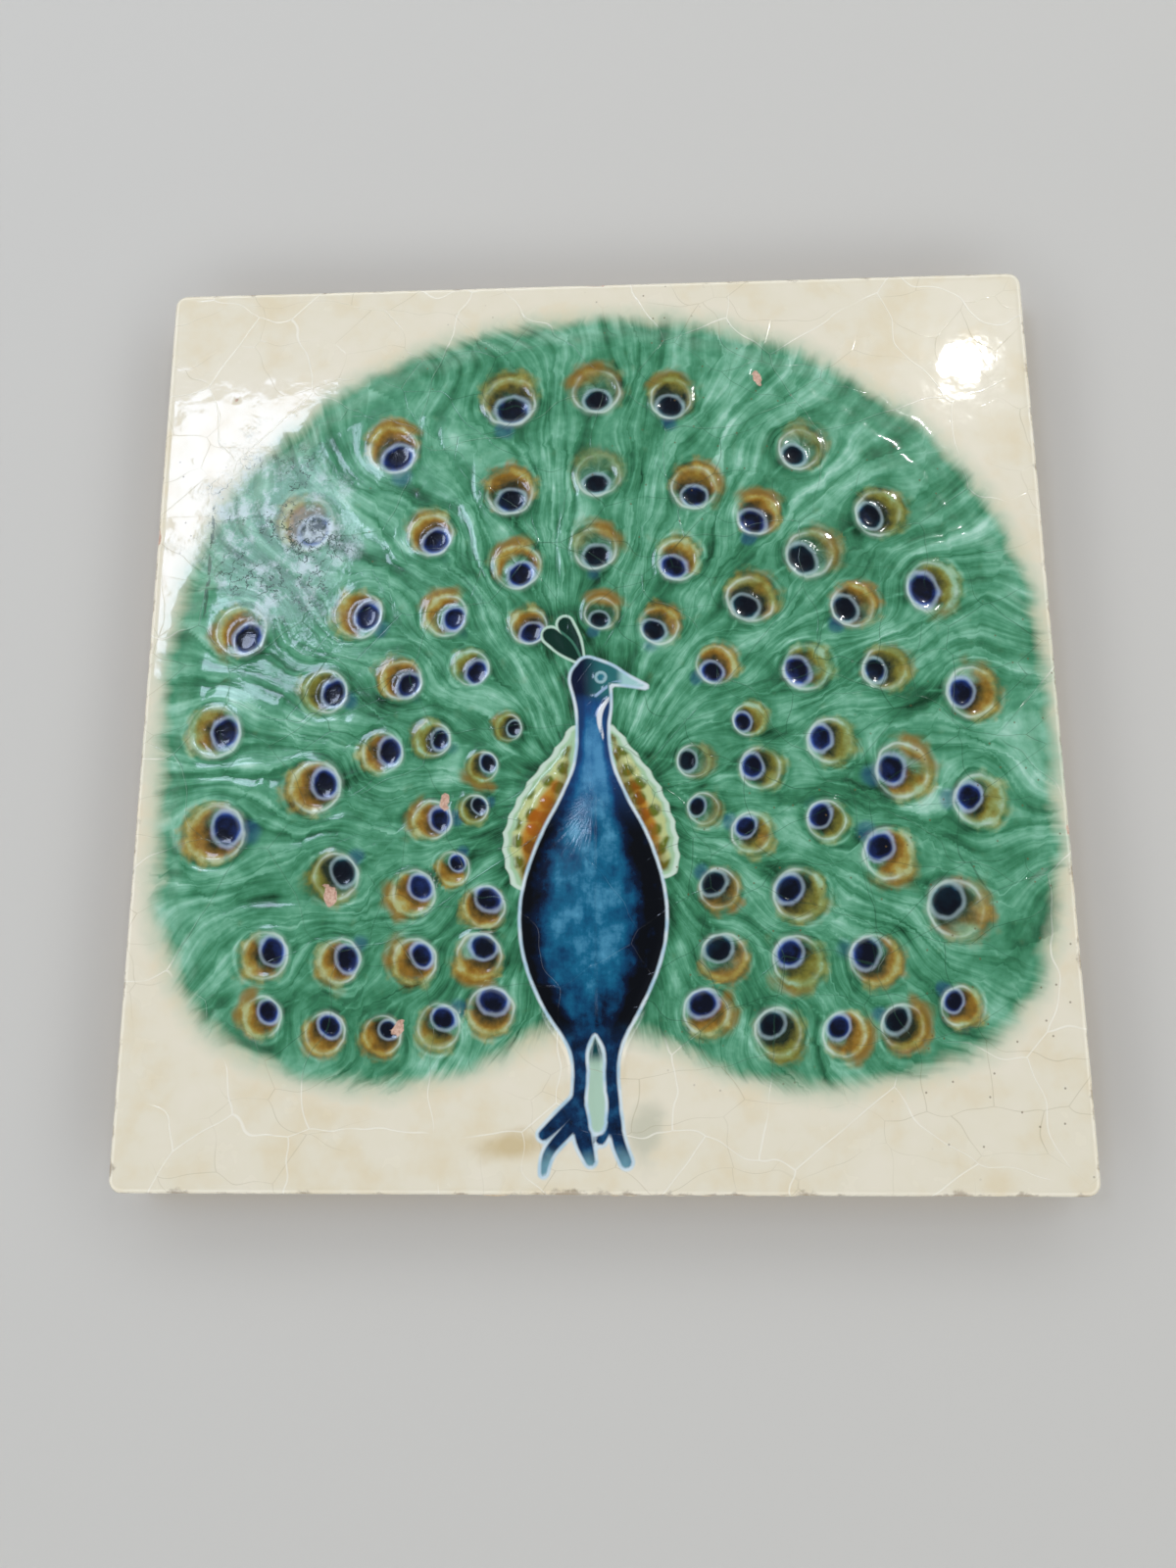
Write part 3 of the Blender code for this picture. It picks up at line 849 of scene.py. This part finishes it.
# Each unevenness of the glazes: waves in a millimetre, detail and roughness. Clouds of 0.4 are about
# 2.5 mm wide, which is how far wet glaze gathers, and 3.0 is the grit of the clay, 0.3 mm.
NOISES = {
    "creep": (0.38, 1.5, 0.45),
    "drift": (0.16, 3.0, 0.5),
    "cloud": (0.42, 3.0, 0.55),
    "echo": (0.12, 2.0, 0.5),
    "patch": (0.16, 1.0, 0.5),
    "ring": (0.25, 2.0, 0.5),
    "mottle": (0.3, 5.0, 0.58),
    "limb": (0.4, 4.0, 0.6),
    "outline": (0.3, 2.0, 0.5),
    "crack": (0.05, 2.0, 0.5),
    "fissure": (0.07, 1.0, 0.5),
    "speck": (0.02, 1.0, 0.5),
    "stain": (0.3, 4.0, 0.6),
    "wear": (0.12, 4.0, 0.65),
    "vein": (0.28, 4.0, 0.6),
    "scuff": (0.22, 8.0, 0.72),
    "scratch": (0.6, 3.0, 0.6),
    "clay": (2.2, 4.0, 0.6),
    "ripple": (0.35, 2.0, 0.5),
    "grit": (3.0, 3.0, 0.6),
    "rubbed": (0.8, 5.0, 0.7),
    "sheen": (0.12, 3.0, 0.6),
}
noise = {
    name: node("TexNoise", {"Vector": place, "Scale": scale, "Detail": detail, "Roughness": roughness})
    for name, (scale, detail, roughness) in NOISES.items()
}
creep, drift, cloud = (total(-0.5, (1.0, noise[name])) for name in ("creep", "drift", "cloud"))
print("glaze fields:", len(at), "kinds of unevenness:", len(noise))

# %% [markdown]
# Streaks of glaze run along the barbs. Noise stretched along the flow draws them: broad locks near
# the bird, closer ones far out, where the flow's lines lie wider apart, and fine hairs over both.

# %% Streaks along the barbs
flow = node("CombineXYZ", {"X": product(at["across"], 15.0), "Y": product(at["along"], 2.4), "Z": 0.0})
barbs = []
for across, along, detail in ((1.0, 1.0, 3.0), (2.2, 1.5, 3.0), (6.0, 2.2, 2.0)):
    stretched = node("VectorMath", (flow, (across, along, 1.0)), operation="MULTIPLY")
    barbs.append(node("TexNoise", {"Vector": stretched, "Scale": 1.0, "Detail": detail, "Roughness": 0.5}))
broad, close, hair = barbs
far = product((at["along"], 3.0, 3.8))
streak = total(product(broad, total(1.0, (-1.0, far))), (far, close))
streak_swing, hair_swing = total(-0.5, (1.0, streak)), total(-0.5, (1.0, hair))
print("nodes with the streaks:", len(tree.nodes))

# %% [markdown]
# The ground is ivory glaze, a little yellower where it pools. Green drew into it round the tail, and
# beside the feet it is stained.

# %% Ivory ground
# Middle x and y, half-width, half-height and colour of each stain
STAINS = ((-13.0, -69.0, 9.0, 3.0, "C6A863"), (8.0, -67.0, 4.0, 6.0, "BDBDA6"))


def blot(x, y, wide, tall):
    """Distance from a middle, as a share of a half-width and a half-height: 1 on an ellipse."""
    spot = node("VectorMath", (place, (x, y, 0.0)), operation="SUBTRACT")
    spot = node("VectorMath", (spot, (1.0 / wide, 1.0 / tall, 0.0)), operation="MULTIPLY")
    return node("VectorMath", (spot,), out=1, operation="LENGTH")


IVORIES = ((0.2, "F1E8D3"), (0.5, "EFE6CF"), (0.85, "EBDDBE"))
colour = node("ValToRGB", (total(0.5, (1.4, drift)),), stops=IVORIES)
for x, y, wide, tall, stain in STAINS:
    cover = product((total(blot(x, y, wide, tall), (1.5, drift)), 1.0, 0.2), 0.6)
    colour = flooded(colour, (stain, cover))
haze = product((total(at["fan"], (5.0, drift)), 4.5, -0.5), 0.6)
colour = flooded(colour, ("A3BFA0", haze))
print("nodes with the ground:", len(tree.nodes))

# %% [markdown]
# The tail's green is deep between the locks, at the foot of each ring and beside the bird, and thin
# on the locks, the shafts and the faint lines that echo the rings. At the tail's edge it frays into
# tufts along the streaks.

# %% Green of the tail
foot = product((at["rim"], 2.6, 0.4), (at["rim"], 0.0, 0.5))
echo = near_line(total(-1.5, (1.0, at["rim_share"])), 0.7)
echo = product(echo, (total(noise["echo"], (0.1, at["ahead"])), 0.5, 0.7))
plumes = node("Math", (at["front_plume"], at["back_plume"]), operation="MINIMUM")
bird = plumes
for name in ("body", "wing"):
    bird = node("Math", (bird, at[name]), operation="MINIMUM")
depth = total(
    0.66,
    (-0.36, at["strand"]),
    (-1.1, streak_swing),
    (0.75, drift),
    (-0.3, hair_swing),
    (0.45, cloud),
    (0.12, foot),
    (0.14, product((at["stem"], 2.4, 0.6))),
    (-0.3, product((at["stem"], 0.55, 0.0))),
    (-0.22, echo),
    (0.25, product((bird, 3.0, 0.5))),
)
GREENS = ((0.0, "B4E0CC"), (0.24, "80BE9F"), (0.47, "559B77"), (0.66, "3A7F5A"), (1.0, "123F26"))
green = node("ValToRGB", (depth,), stops=GREENS)
fan = product((total(at["fan"], (2.6, streak_swing), (1.0, hair_swing), (4.0, drift)), 1.9, -1.6))
spill = product((total(at["spill"], (0.8, creep)), 0.1, 0.75), fan, 0.85)
drip = product((total(at["drip"], (0.7, creep)), 0.2, 0.9), fan, 0.5)
colour = flooded(colour, (green, fan), ("8F6A26", spill), ("24477E", drip))
print("nodes with the green:", len(tree.nodes))

# %% [markdown]
# In an eye, amber or olive pools between the two rings and dark blue or teal in the pupil. All thin
# out to pale on the raised rings. The mesh carries each place as seen from its own eye, which is
# exact between vertices too, so the rings come out round.


# %% Rings of the eyes
def ring_gap(name, radius):
    """Distance to a ring: the length of its own place, less 1, times the radius.

    Between two eyes the places jump, so the coarser distance that the mesh carries takes over there.
    """
    places = node("CombineXYZ", {"X": at[f"{name}_aside"], "Y": at[f"{name}_ahead"], "Z": 0.0})
    length = node("VectorMath", (places,), out=1, operation="LENGTH")
    coarse = total(-0.4, (1.0, at[f"{name}_share"]))
    return node("Math", (product(total(-1.0, (1.0, length)), radius), coarse), operation="MAXIMUM")


rim = total(ring_gap("rim", TYPICAL_EYE), (0.9, creep))
pupil = total(ring_gap("pupil", PUPIL_SHARE * TYPICAL_EYE), (-0.9, creep))
ring = total(0.0, (0.5, near_line(rim, 0.4)), (0.22, near_line(rim, 1.1)))
ring = product(ring, (total(noise["ring"], (-0.2, at["ahead"])), 0.2, 0.66), at["own"])
arch = product(near_line(pupil, 0.55), (rim, 0.2, -0.4), at["own"])
print("nodes with the rings:", len(tree.nodes))

# %% Amber and olive in the hollows
BROWNS = ((0.0, "B7BA80"), (0.22, "AC9444"), (0.48, "946A20"), (0.76, "664A18"), (1.0, "2E2412"))
OLIVES = ((0.0, "9CC09A"), (0.22, "929C58"), (0.5, "7C762C"), (0.8, "4C481E"), (1.0, "202416"))
pool = total(
    0.36,
    (1.2, cloud),
    (0.1, at["ahead"]),
    (0.2, at["tint"]),
    (0.55, product((pupil, 2.8, 0.2))),
    (-0.3, near_line(rim, 1.1)),
    (-0.16, near_line(pupil, 0.8)),
)
brown, olive = (node("ValToRGB", (pool,), stops=stops) for stops in (BROWNS, OLIVES))
amber = flooded(brown, (olive, product((total(at["shade"], (1.0, creep)), -0.2, 0.5))))
clear = product((total(at["tint"], (-0.7, at["shade"])), 0.55, 0.85))
laid = product((total(noise["patch"], (0.08, at["ahead"])), 0.3, 0.48), total(1.0, (-0.75, clear)))
reach = total(rim, (-0.8, at["ahead"]), (-0.6, at["tint"]), (4.0, cloud))
colour = flooded(colour, (amber, product((reach, 1.2, -1.2), at["own"], total(0.3, (0.66, laid)))))
print("nodes with the amber:", len(tree.nodes))

# %% Blue and teal in the pupils
BLUES = ((0.0, "93AAD6"), (0.18, "6B86BE"), (0.4, "34549C"), (0.66, "1A2C60"), (1.0, "070C1E"))
TEALS = ((0.0, "86B0B2"), (0.18, "5C8C90"), (0.4, "21505A"), (0.66, "0B222E"), (1.0, "050C18"))
well = total(0.04, (1.0, product((pupil, 0.5, -1.2))), (0.9, cloud), (0.4, at["ahead"]))
blue, teal = (node("ValToRGB", (well,), stops=stops) for stops in (BLUES, TEALS))
ink = flooded(blue, (teal, product((total(at["tint"], (1.0, creep)), -0.1, 0.5))))
cover = product((total(pupil, (1.5, cloud)), 0.8, -0.7), (rim, 0.6, -0.3), at["own"])
colour = flooded(colour, (ink, cover), ("C4D6DC", product(arch, 0.34)), ("DCEAE0", product(ring, 0.85)))
print("nodes with the pupils:", len(tree.nodes))

# %% [markdown]
# The crest is two plumes of near-black green with a pale edge. The wings are beads of amber on
# yellow, olive further out, with a pale green border that the body's shadow line darkens.

# %% Crest and wings
seam = product(near_line(at["front_plume"], 0.35, 0.05), 0.7, (at["back_plume"], 0.0, -0.4))
colour = flooded(
    colour,
    ("BFDCC8", product((plumes, 0.4, 0.1))),
    ("0A3026", product((total(plumes, (0.3, creep)), 0.0, -0.35))),
    ("4F8A72", seam),
)
BEADS = ((0.1, "8A5210"), (0.4, "A85E14"), (0.7, "B96A1C"), (0.95, "A0701E"))
outer = product((total(at["wing"], (1.0, creep)), -3.4, -2.2))
bead = flooded(node("ValToRGB", (total(at["bead_number"], (0.8, creep)),), stops=BEADS), ("667226", outer))
panel = flooded(
    flooded("C08A30", ("C3CB8A", outer)),
    (bead, product((total(at["bead"], (0.3, creep)), 0.58, 0.3))),
    ("6E4610", product((at["body"], 2.4, 0.3), 0.6)),
    ("A9CCA4", product((total(at["wing"], (2.0, drift)), -1.5, -0.7))),
)
colour = flooded(
    colour, ("CFE3D0", product((at["wing"], 0.5, 0.1))), (panel, product((at["wing"], -0.2, -0.7)))
)
print("nodes with the wings:", len(tree.nodes))

# %% [markdown]
# The bird is one blue glaze. It is near black in the channel round the body and bright where the dome
# lifts it. Towards the head it turns to navy and green, and on the toes it runs thin. Between the
# legs the glaze is pale green.

# %% Blue of the bird
TORSO = ((0.06, "01040C"), (0.26, "021634"), (0.46, "07446A"), (0.66, "136588"), (0.98, "5AA2C2"))
LIMBS = ((0.3, "031026"), (0.5, "0A2D52"), (0.75, "1F5C86"))
stretched = node("VectorMath", (place, (0.9, 0.12, 0.0)), operation="MULTIPLY")
column = node("TexNoise", {"Vector": stretched, "Scale": 1.0, "Detail": 3.0, "Roughness": 0.6})
deep = total(
    -0.68,
    (0.66, product((at["core"], 0.13, 0.62))),
    (1.1, noise["mottle"]),
    (0.25, column),
    (0.25, product((at["high"], -19.0, -11.0), (at["high"], -2.5, -7.0))),
    (-0.3, product((at["high"], -42.0, -52.0))),
    (-0.3, product((at["high"], -4.0, 0.0))),
)
torso = node("ValToRGB", (deep,), stops=TORSO)
torso = flooded(torso, ("2F62A8", product((at["high"], -22.0, -10.0), 0.35)))
limb = node("ValToRGB", (noise["limb"],), stops=LIMBS)
limb = flooded(limb, ("7FB0BC", product((total(at["high"], (5.0, creep)), -68.5, -72.8), 0.75)))
print("nodes with the blue:", len(tree.nodes))

# %% Head, outline and pale stripes
sideways = node("SeparateXYZ", (place,))
face = flooded(
    "0A1632",
    ("2C6E70", product((sideways, -2.2, 2.0))),
    ("A4CFCC", product((sideways, 3.6, 5.2))),
    ("2F7684", product((at["face"], 0.1, -0.2))),
    ("A9CCD2", product(near_line(at["face"], 0.4, 0.05), 0.8)),
)
torso = flooded(torso, (face, product((total(at["high"], (1.5, creep)), -0.6, 1.6))))
body = flooded(torso, (limb, product((at["high"], -50.0, -55.0))))
outline = node("ValToRGB", (noise["outline"],), stops=((0.35, "B4D2E2"), (0.6, "DCE8EC")))
shadow = product((total(at["between"], (0.5, creep)), -0.1, -0.6), (at["high"], -57.5, -55.0))
colour = flooded(
    colour,
    ("B4D2BC", product((at["between"], 0.3, -0.1))),
    ("0C4A4E", shadow),
    (outline, product((at["body"], 0.55, 0.1))),
    (body, product((total(at["body"], (0.2, creep)), 0.05, -0.4))),
    ("9DB9D6", product((at["cheek"], 0.25, 0.0), (at["body"], -0.3, -0.6))),
    ("E6E9EC", product((at["throat"], 0.15, -0.2), (at["body"], -0.1, -0.4))),
)
print("nodes with the head:", len(tree.nodes))

# %% [markdown]
# ## Age
#
# The glaze shrank more than the clay and cracked. Dirt darkened the fine net of cracks, the long ones
# stayed pale and stand up a little. Brown specks lie in the glaze and stains along its edge. Cells
# of points scattered in the plane have such nets as their borders. The points lie about 10 mm apart
# for the fine net, 20 mm for the long cracks and 6 mm for the specks.

# %% Cracks, specks and stains
shift = (noise["crack"], (14.0, 14.0, 0.0), place)
bent = node("VectorMath", shift, operation="MULTIPLY_ADD")
drawn = node("VectorMath", (bent, (0.75, 1.25, 1.0)), operation="MULTIPLY")
nets = []
for vector, scale in ((drawn, 0.1), (bent, 0.05)):
    cells = {"Vector": vector, "Scale": scale, "Randomness": 1.0}
    nets.append(node("TexVoronoi", cells, feature="DISTANCE_TO_EDGE", voronoi_dimensions="2D"))
craze = product((nets[0], 0.010, 0.002), (noise["crack"], 0.42, 0.58))
fissures = product((nets[1], 0.0075, 0.002), (noise["fissure"], 0.34, 0.44))
dots = node("TexVoronoi", {"Vector": place, "Scale": 0.17}, voronoi_dimensions="2D")
off_bird = product((at["body"], 0.0, 0.5))
edge = total(at["edge"], (-5.0, noise["stain"]))
colour = flooded(
    colour,
    (flooded("A39468", ("1E4630", fan)), product(craze, off_bird, total(0.28, (0.15, fan)))),
    (flooded("FFFAEC", ("2C5A40", fan)), product(fissures, off_bird, total(0.6, (-0.32, fan)))),
    ("6B5533", product((dots, 0.036, 0.02), (noise["speck"], 0.54, 0.62), off_bird, 0.6)),
    ("7E6446", product((edge, -2.05, -3.0), 0.65)),
)
print("nodes with the cracks:", len(tree.nodes))

# %% [markdown]
# At the upper left the glaze is rubbed dull, with pale scuffs, dark veins and an upright scratch. In
# the chips the pinkish clay shows.

# %% Rubbed patch, scratch and chips
worn = product((total(blot(*WORN_MIDDLE, *WORN_REACH), (-1.6, noise["wear"])), 0.35, -0.35))
scuff = product(worn, (total(noise["scuff"], (0.25, streak)), 0.6, 0.78))
vein = near_line(total(-0.5, (1.0, noise["vein"])), 0.018, 0.006)
vein = product(vein, (noise["patch"], 0.45, 0.55), worn)
scratch_x, scratch_y, scratch_reach = SCRATCH
moved = node("VectorMath", (place, (scratch_x, scratch_y, 0.0)), operation="SUBTRACT")
off_line, off_middle = (
    node("Math", (node("SeparateXYZ", (moved,), out=axis),), operation="ABSOLUTE") for axis in (0, 1)
)
scratch = product(
    (total(off_line, (0.7, creep)), 0.42, 0.2),
    (off_middle, scratch_reach, scratch_reach - 1.0),
    (noise["scratch"], 0.4, 0.5),
)
chip = product((at["chip"], 0.1, -0.15))
clay = node("ValToRGB", (noise["clay"],), stops=((0.3, "B98A76"), (0.6, "DDBBA6")))
colour = flooded(
    colour,
    ("B4CED0", product(worn, 0.2)),
    ("D6E4EA", product(scuff, 0.75)),
    ("22402F", product(vein, 0.85)),
    ("3D5548", product(scratch, 0.7)),
    (clay, chip),
)
print("nodes with the wear:", len(tree.nodes))

# %% [markdown]
# The glaze's surface ripples a little along the streaks. It is a clear coat, smooth as glass, over
# the colour, a little duller on the tail and in the rubbed patch, and missing in the chips.

# %% Surface of the glazes
height = total(
    product(streak, fan),
    (0.6, noise["ripple"]),
    (-0.25, craze),
    (1.5, product(chip, noise["grit"])),
    (3.0, product(worn, noise["rubbed"])),
    (0.7, fissures),
)
bump = node("Bump", {"Strength": 0.35, "Distance": 0.12 * MM, "Height": height})
shader = node("BsdfPrincipled", {
    "Base Color": colour,
    "Roughness": total(0.2, (0.5, chip), (0.12, noise["sheen"])),
    "Normal": bump,
    "IOR": 1.5,
    "Specular IOR Level": 0.25,
    "Coat Weight": total(1.0, (-1.0, chip)),
    "Coat Roughness": total(0.055, (0.03, fan), (0.05, worn)),
    "Coat IOR": 1.5,
    "Coat Normal": bump,
})
node("OutputMaterial", (shader,))
print("nodes of the glazes:", len(tree.nodes))

# %% [markdown]
# The sides and back are bare biscuit clay, fired once and never glazed: pinkish cream and faintly
# grainy, so it is matt. Glaze ran over the upper edge in places, and old mortar stains it grey.

# %% Biscuit clay, with a grain of 0.4 mm
biscuit = bpy.data.materials.new("biscuit_clay")
tree = empty_tree(biscuit)
place = node("VectorMath", {0: node("TexCoord", out=3), "Scale": 1.0 / MM}, operation="SCALE")
# Waves in a millimetre across and up, detail and roughness: the grain, the stains, and the runs of glaze
CLAY_NOISES = ((2.5, 2.5, 4.0, 0.6), (0.12, 0.12, 3.0, 0.5), (0.35, 0.03, 2.0, 0.5))
grain, stain, run = (
    node("TexNoise", {
        "Vector": node("VectorMath", (place, (wide, wide, tall)), operation="MULTIPLY"),
        "Scale": 1.0,
        "Detail": detail,
        "Roughness": roughness,
    })
    for wide, tall, detail, roughness in CLAY_NOISES
)
mortar = node("ValToRGB", (grain,), stops=((0.25, "82786A"), (0.75, "A89D8B")))
clay = node("ValToRGB", (grain,), stops=((0.3, "C9B08F"), (0.7, "E0CDB0")))
run = product((total(node("SeparateXYZ", (place,), out=2), (9.0, run)), 12.4, 12.9))
colour = flooded(clay, (mortar, product((stain, 0.5, 0.95))), ("E4DAC0", run))
shader = node("BsdfPrincipled", {
    "Base Color": colour,
    "Roughness": 0.85,
    "Normal": node("Bump", {"Strength": 0.6, "Distance": 0.1 * MM, "Height": grain}),
    "IOR": 1.5,
    "Coat Weight": run,
    "Coat Roughness": 0.08,
})
node("OutputMaterial", (shader,))
print("nodes of the clay:", len(tree.nodes))

# %% The piece in the frame
mesh.materials.append(glazes)
mesh.materials.append(biscuit)
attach(tile, "root")
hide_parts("tile")
print("materials:", [material.name for material in mesh.materials])

# %% [markdown]
# ## Floor, light and camera
#
# The tile lies face up on a plain pale floor. The floor is a square ring with the tile over its gap,
# so that a view from below shows the back and not the floor.

# %% Floor
FLOOR_REACH = 3.0
FLOOR_GAP = 0.0757
corners = [(reach * x, reach * y, 0) for reach in (FLOOR_REACH, FLOOR_GAP) for x, y in SQUARE]
floor_mesh = bpy.data.meshes.new("floor")
floor_mesh.from_pydata(corners, [], [(i, (i + 1) % 4, 4 + (i + 1) % 4, 4 + i) for i in range(4)])
plane = bpy.data.objects.new("floor", floor_mesh)
bpy.context.scene.collection.objects.link(plane)
pale = bpy.data.materials.new("floor")
tree = empty_tree(pale)
node("OutputMaterial", (node("BsdfPrincipled", {"Base Color": linear("CFCCC6"), "Roughness": 0.8}),))
floor_mesh.materials.append(pale)
plane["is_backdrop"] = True
print("half of the floor's gap and of the tile, in mm:", FLOOR_GAP / MM, 0.5 * SIDE / MM)

# %% [markdown]
# A soft round lamp at the upper right and a broad box at the left leave their reflections in the
# glaze. The world's even light fills the rest: bright in a broad band half-way up, and weak at the
# horizon and overhead, where the flat glaze would mirror it and grey the dark colours.


# %% Lamps
def soft_light(name, place, size, power, colour, shape):
    """An area light that faces straight down, at a place in metres."""
    light = bpy.data.lights.new(name, "AREA")
    light.shape, light.size, light.size_y, light.energy = shape, size[0], size[1], power
    light.color = linear(colour)[:3]
    lamp = bpy.data.objects.new(name, light)
    lamp.location = place
    bpy.context.scene.collection.objects.link(lamp)
    lamp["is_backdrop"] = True


soft_light("round_lamp", (0.231, 0.314, 0.545), (0.024, 0.024), 0.24, "FFFFFF", "DISK")
soft_light("left_box", (-0.34, 0.268, 0.72), (0.15, 0.24), 0.95, "D4E2FF", "RECTANGLE")
print("lamps:", [light.name for light in bpy.data.lights])

# %% World
world = bpy.data.worlds.new("studio")
bpy.context.scene.world = world
tree = empty_tree(world)
upward = node("SeparateXYZ", (node("TexCoord"),), out=2)
overhead = {"Value": upward, "From Min": 0.45, "From Max": 0.75, "To Min": 3.2, "To Max": 0.08}
horizon = {"Value": upward, "From Min": 0.28, "From Max": 0.48, "To Min": 0.24, "To Max": 1.0}
strength = product(*(node("MapRange", ends, interpolation_type="SMOOTHSTEP") for ends in (overhead, horizon)))
node("OutputWorld", (node("Background", {"Color": linear("F6F9FC"), "Strength": strength}),))
bpy.context.scene.view_settings.view_transform = "Standard"
print("nodes of the world:", len(tree.nodes))

# %% [markdown]
# A lens of 1109 pixels in an image 1600 pixels high, held 178 mm over the face, puts the four corners
# where the photograph has them. The middle of its view lies off the middle of the picture, so the
# sensor is shifted.

# %% Camera
IMAGE_WIDTH, IMAGE_HEIGHT = 1200, 1600
LENS_PIXELS = 1109.0
MIDDLE_X, MIDDLE_Y = 621.3, 664.7
SENSOR = 36.0
camera_data = bpy.data.cameras.new("camera")
camera_data.sensor_width = SENSOR
camera_data.lens = LENS_PIXELS / IMAGE_HEIGHT * SENSOR
camera_data.shift_x = (0.5 * IMAGE_WIDTH - MIDDLE_X) / IMAGE_HEIGHT
camera_data.shift_y = (MIDDLE_Y - 0.5 * IMAGE_HEIGHT) / IMAGE_HEIGHT
camera_data.clip_start = 0.01
camera = bpy.data.objects.new("camera", camera_data)
right, look = Vector((0.9991, -0.0075, -0.0407)), Vector((-0.0384, 0.1973, -0.9796))
up = right.cross(look).normalized()
turn = Matrix((right, up, -look)).transposed()
camera_place = Vector((9.6, -27.4, 178.5)) * PICTURE + Vector((0.0, 0.0, BODY_THICKNESS))
camera.matrix_world = Matrix.Translation(camera_place) @ turn.to_4x4()
bpy.context.scene.collection.objects.link(camera)
bpy.context.scene.camera = camera
camera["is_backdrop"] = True
print("camera over the face, in mm:", round((camera_place.z - BODY_THICKNESS) / MM, 1))

# %% Sizes for the comparison with the CAD box
seen_low, seen_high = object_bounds()
grown = np.array([*seen_low, *seen_high]) - np.array([*cad_low, *cad_high])
print("grown by, in mm:", (grown / MM).round(3))
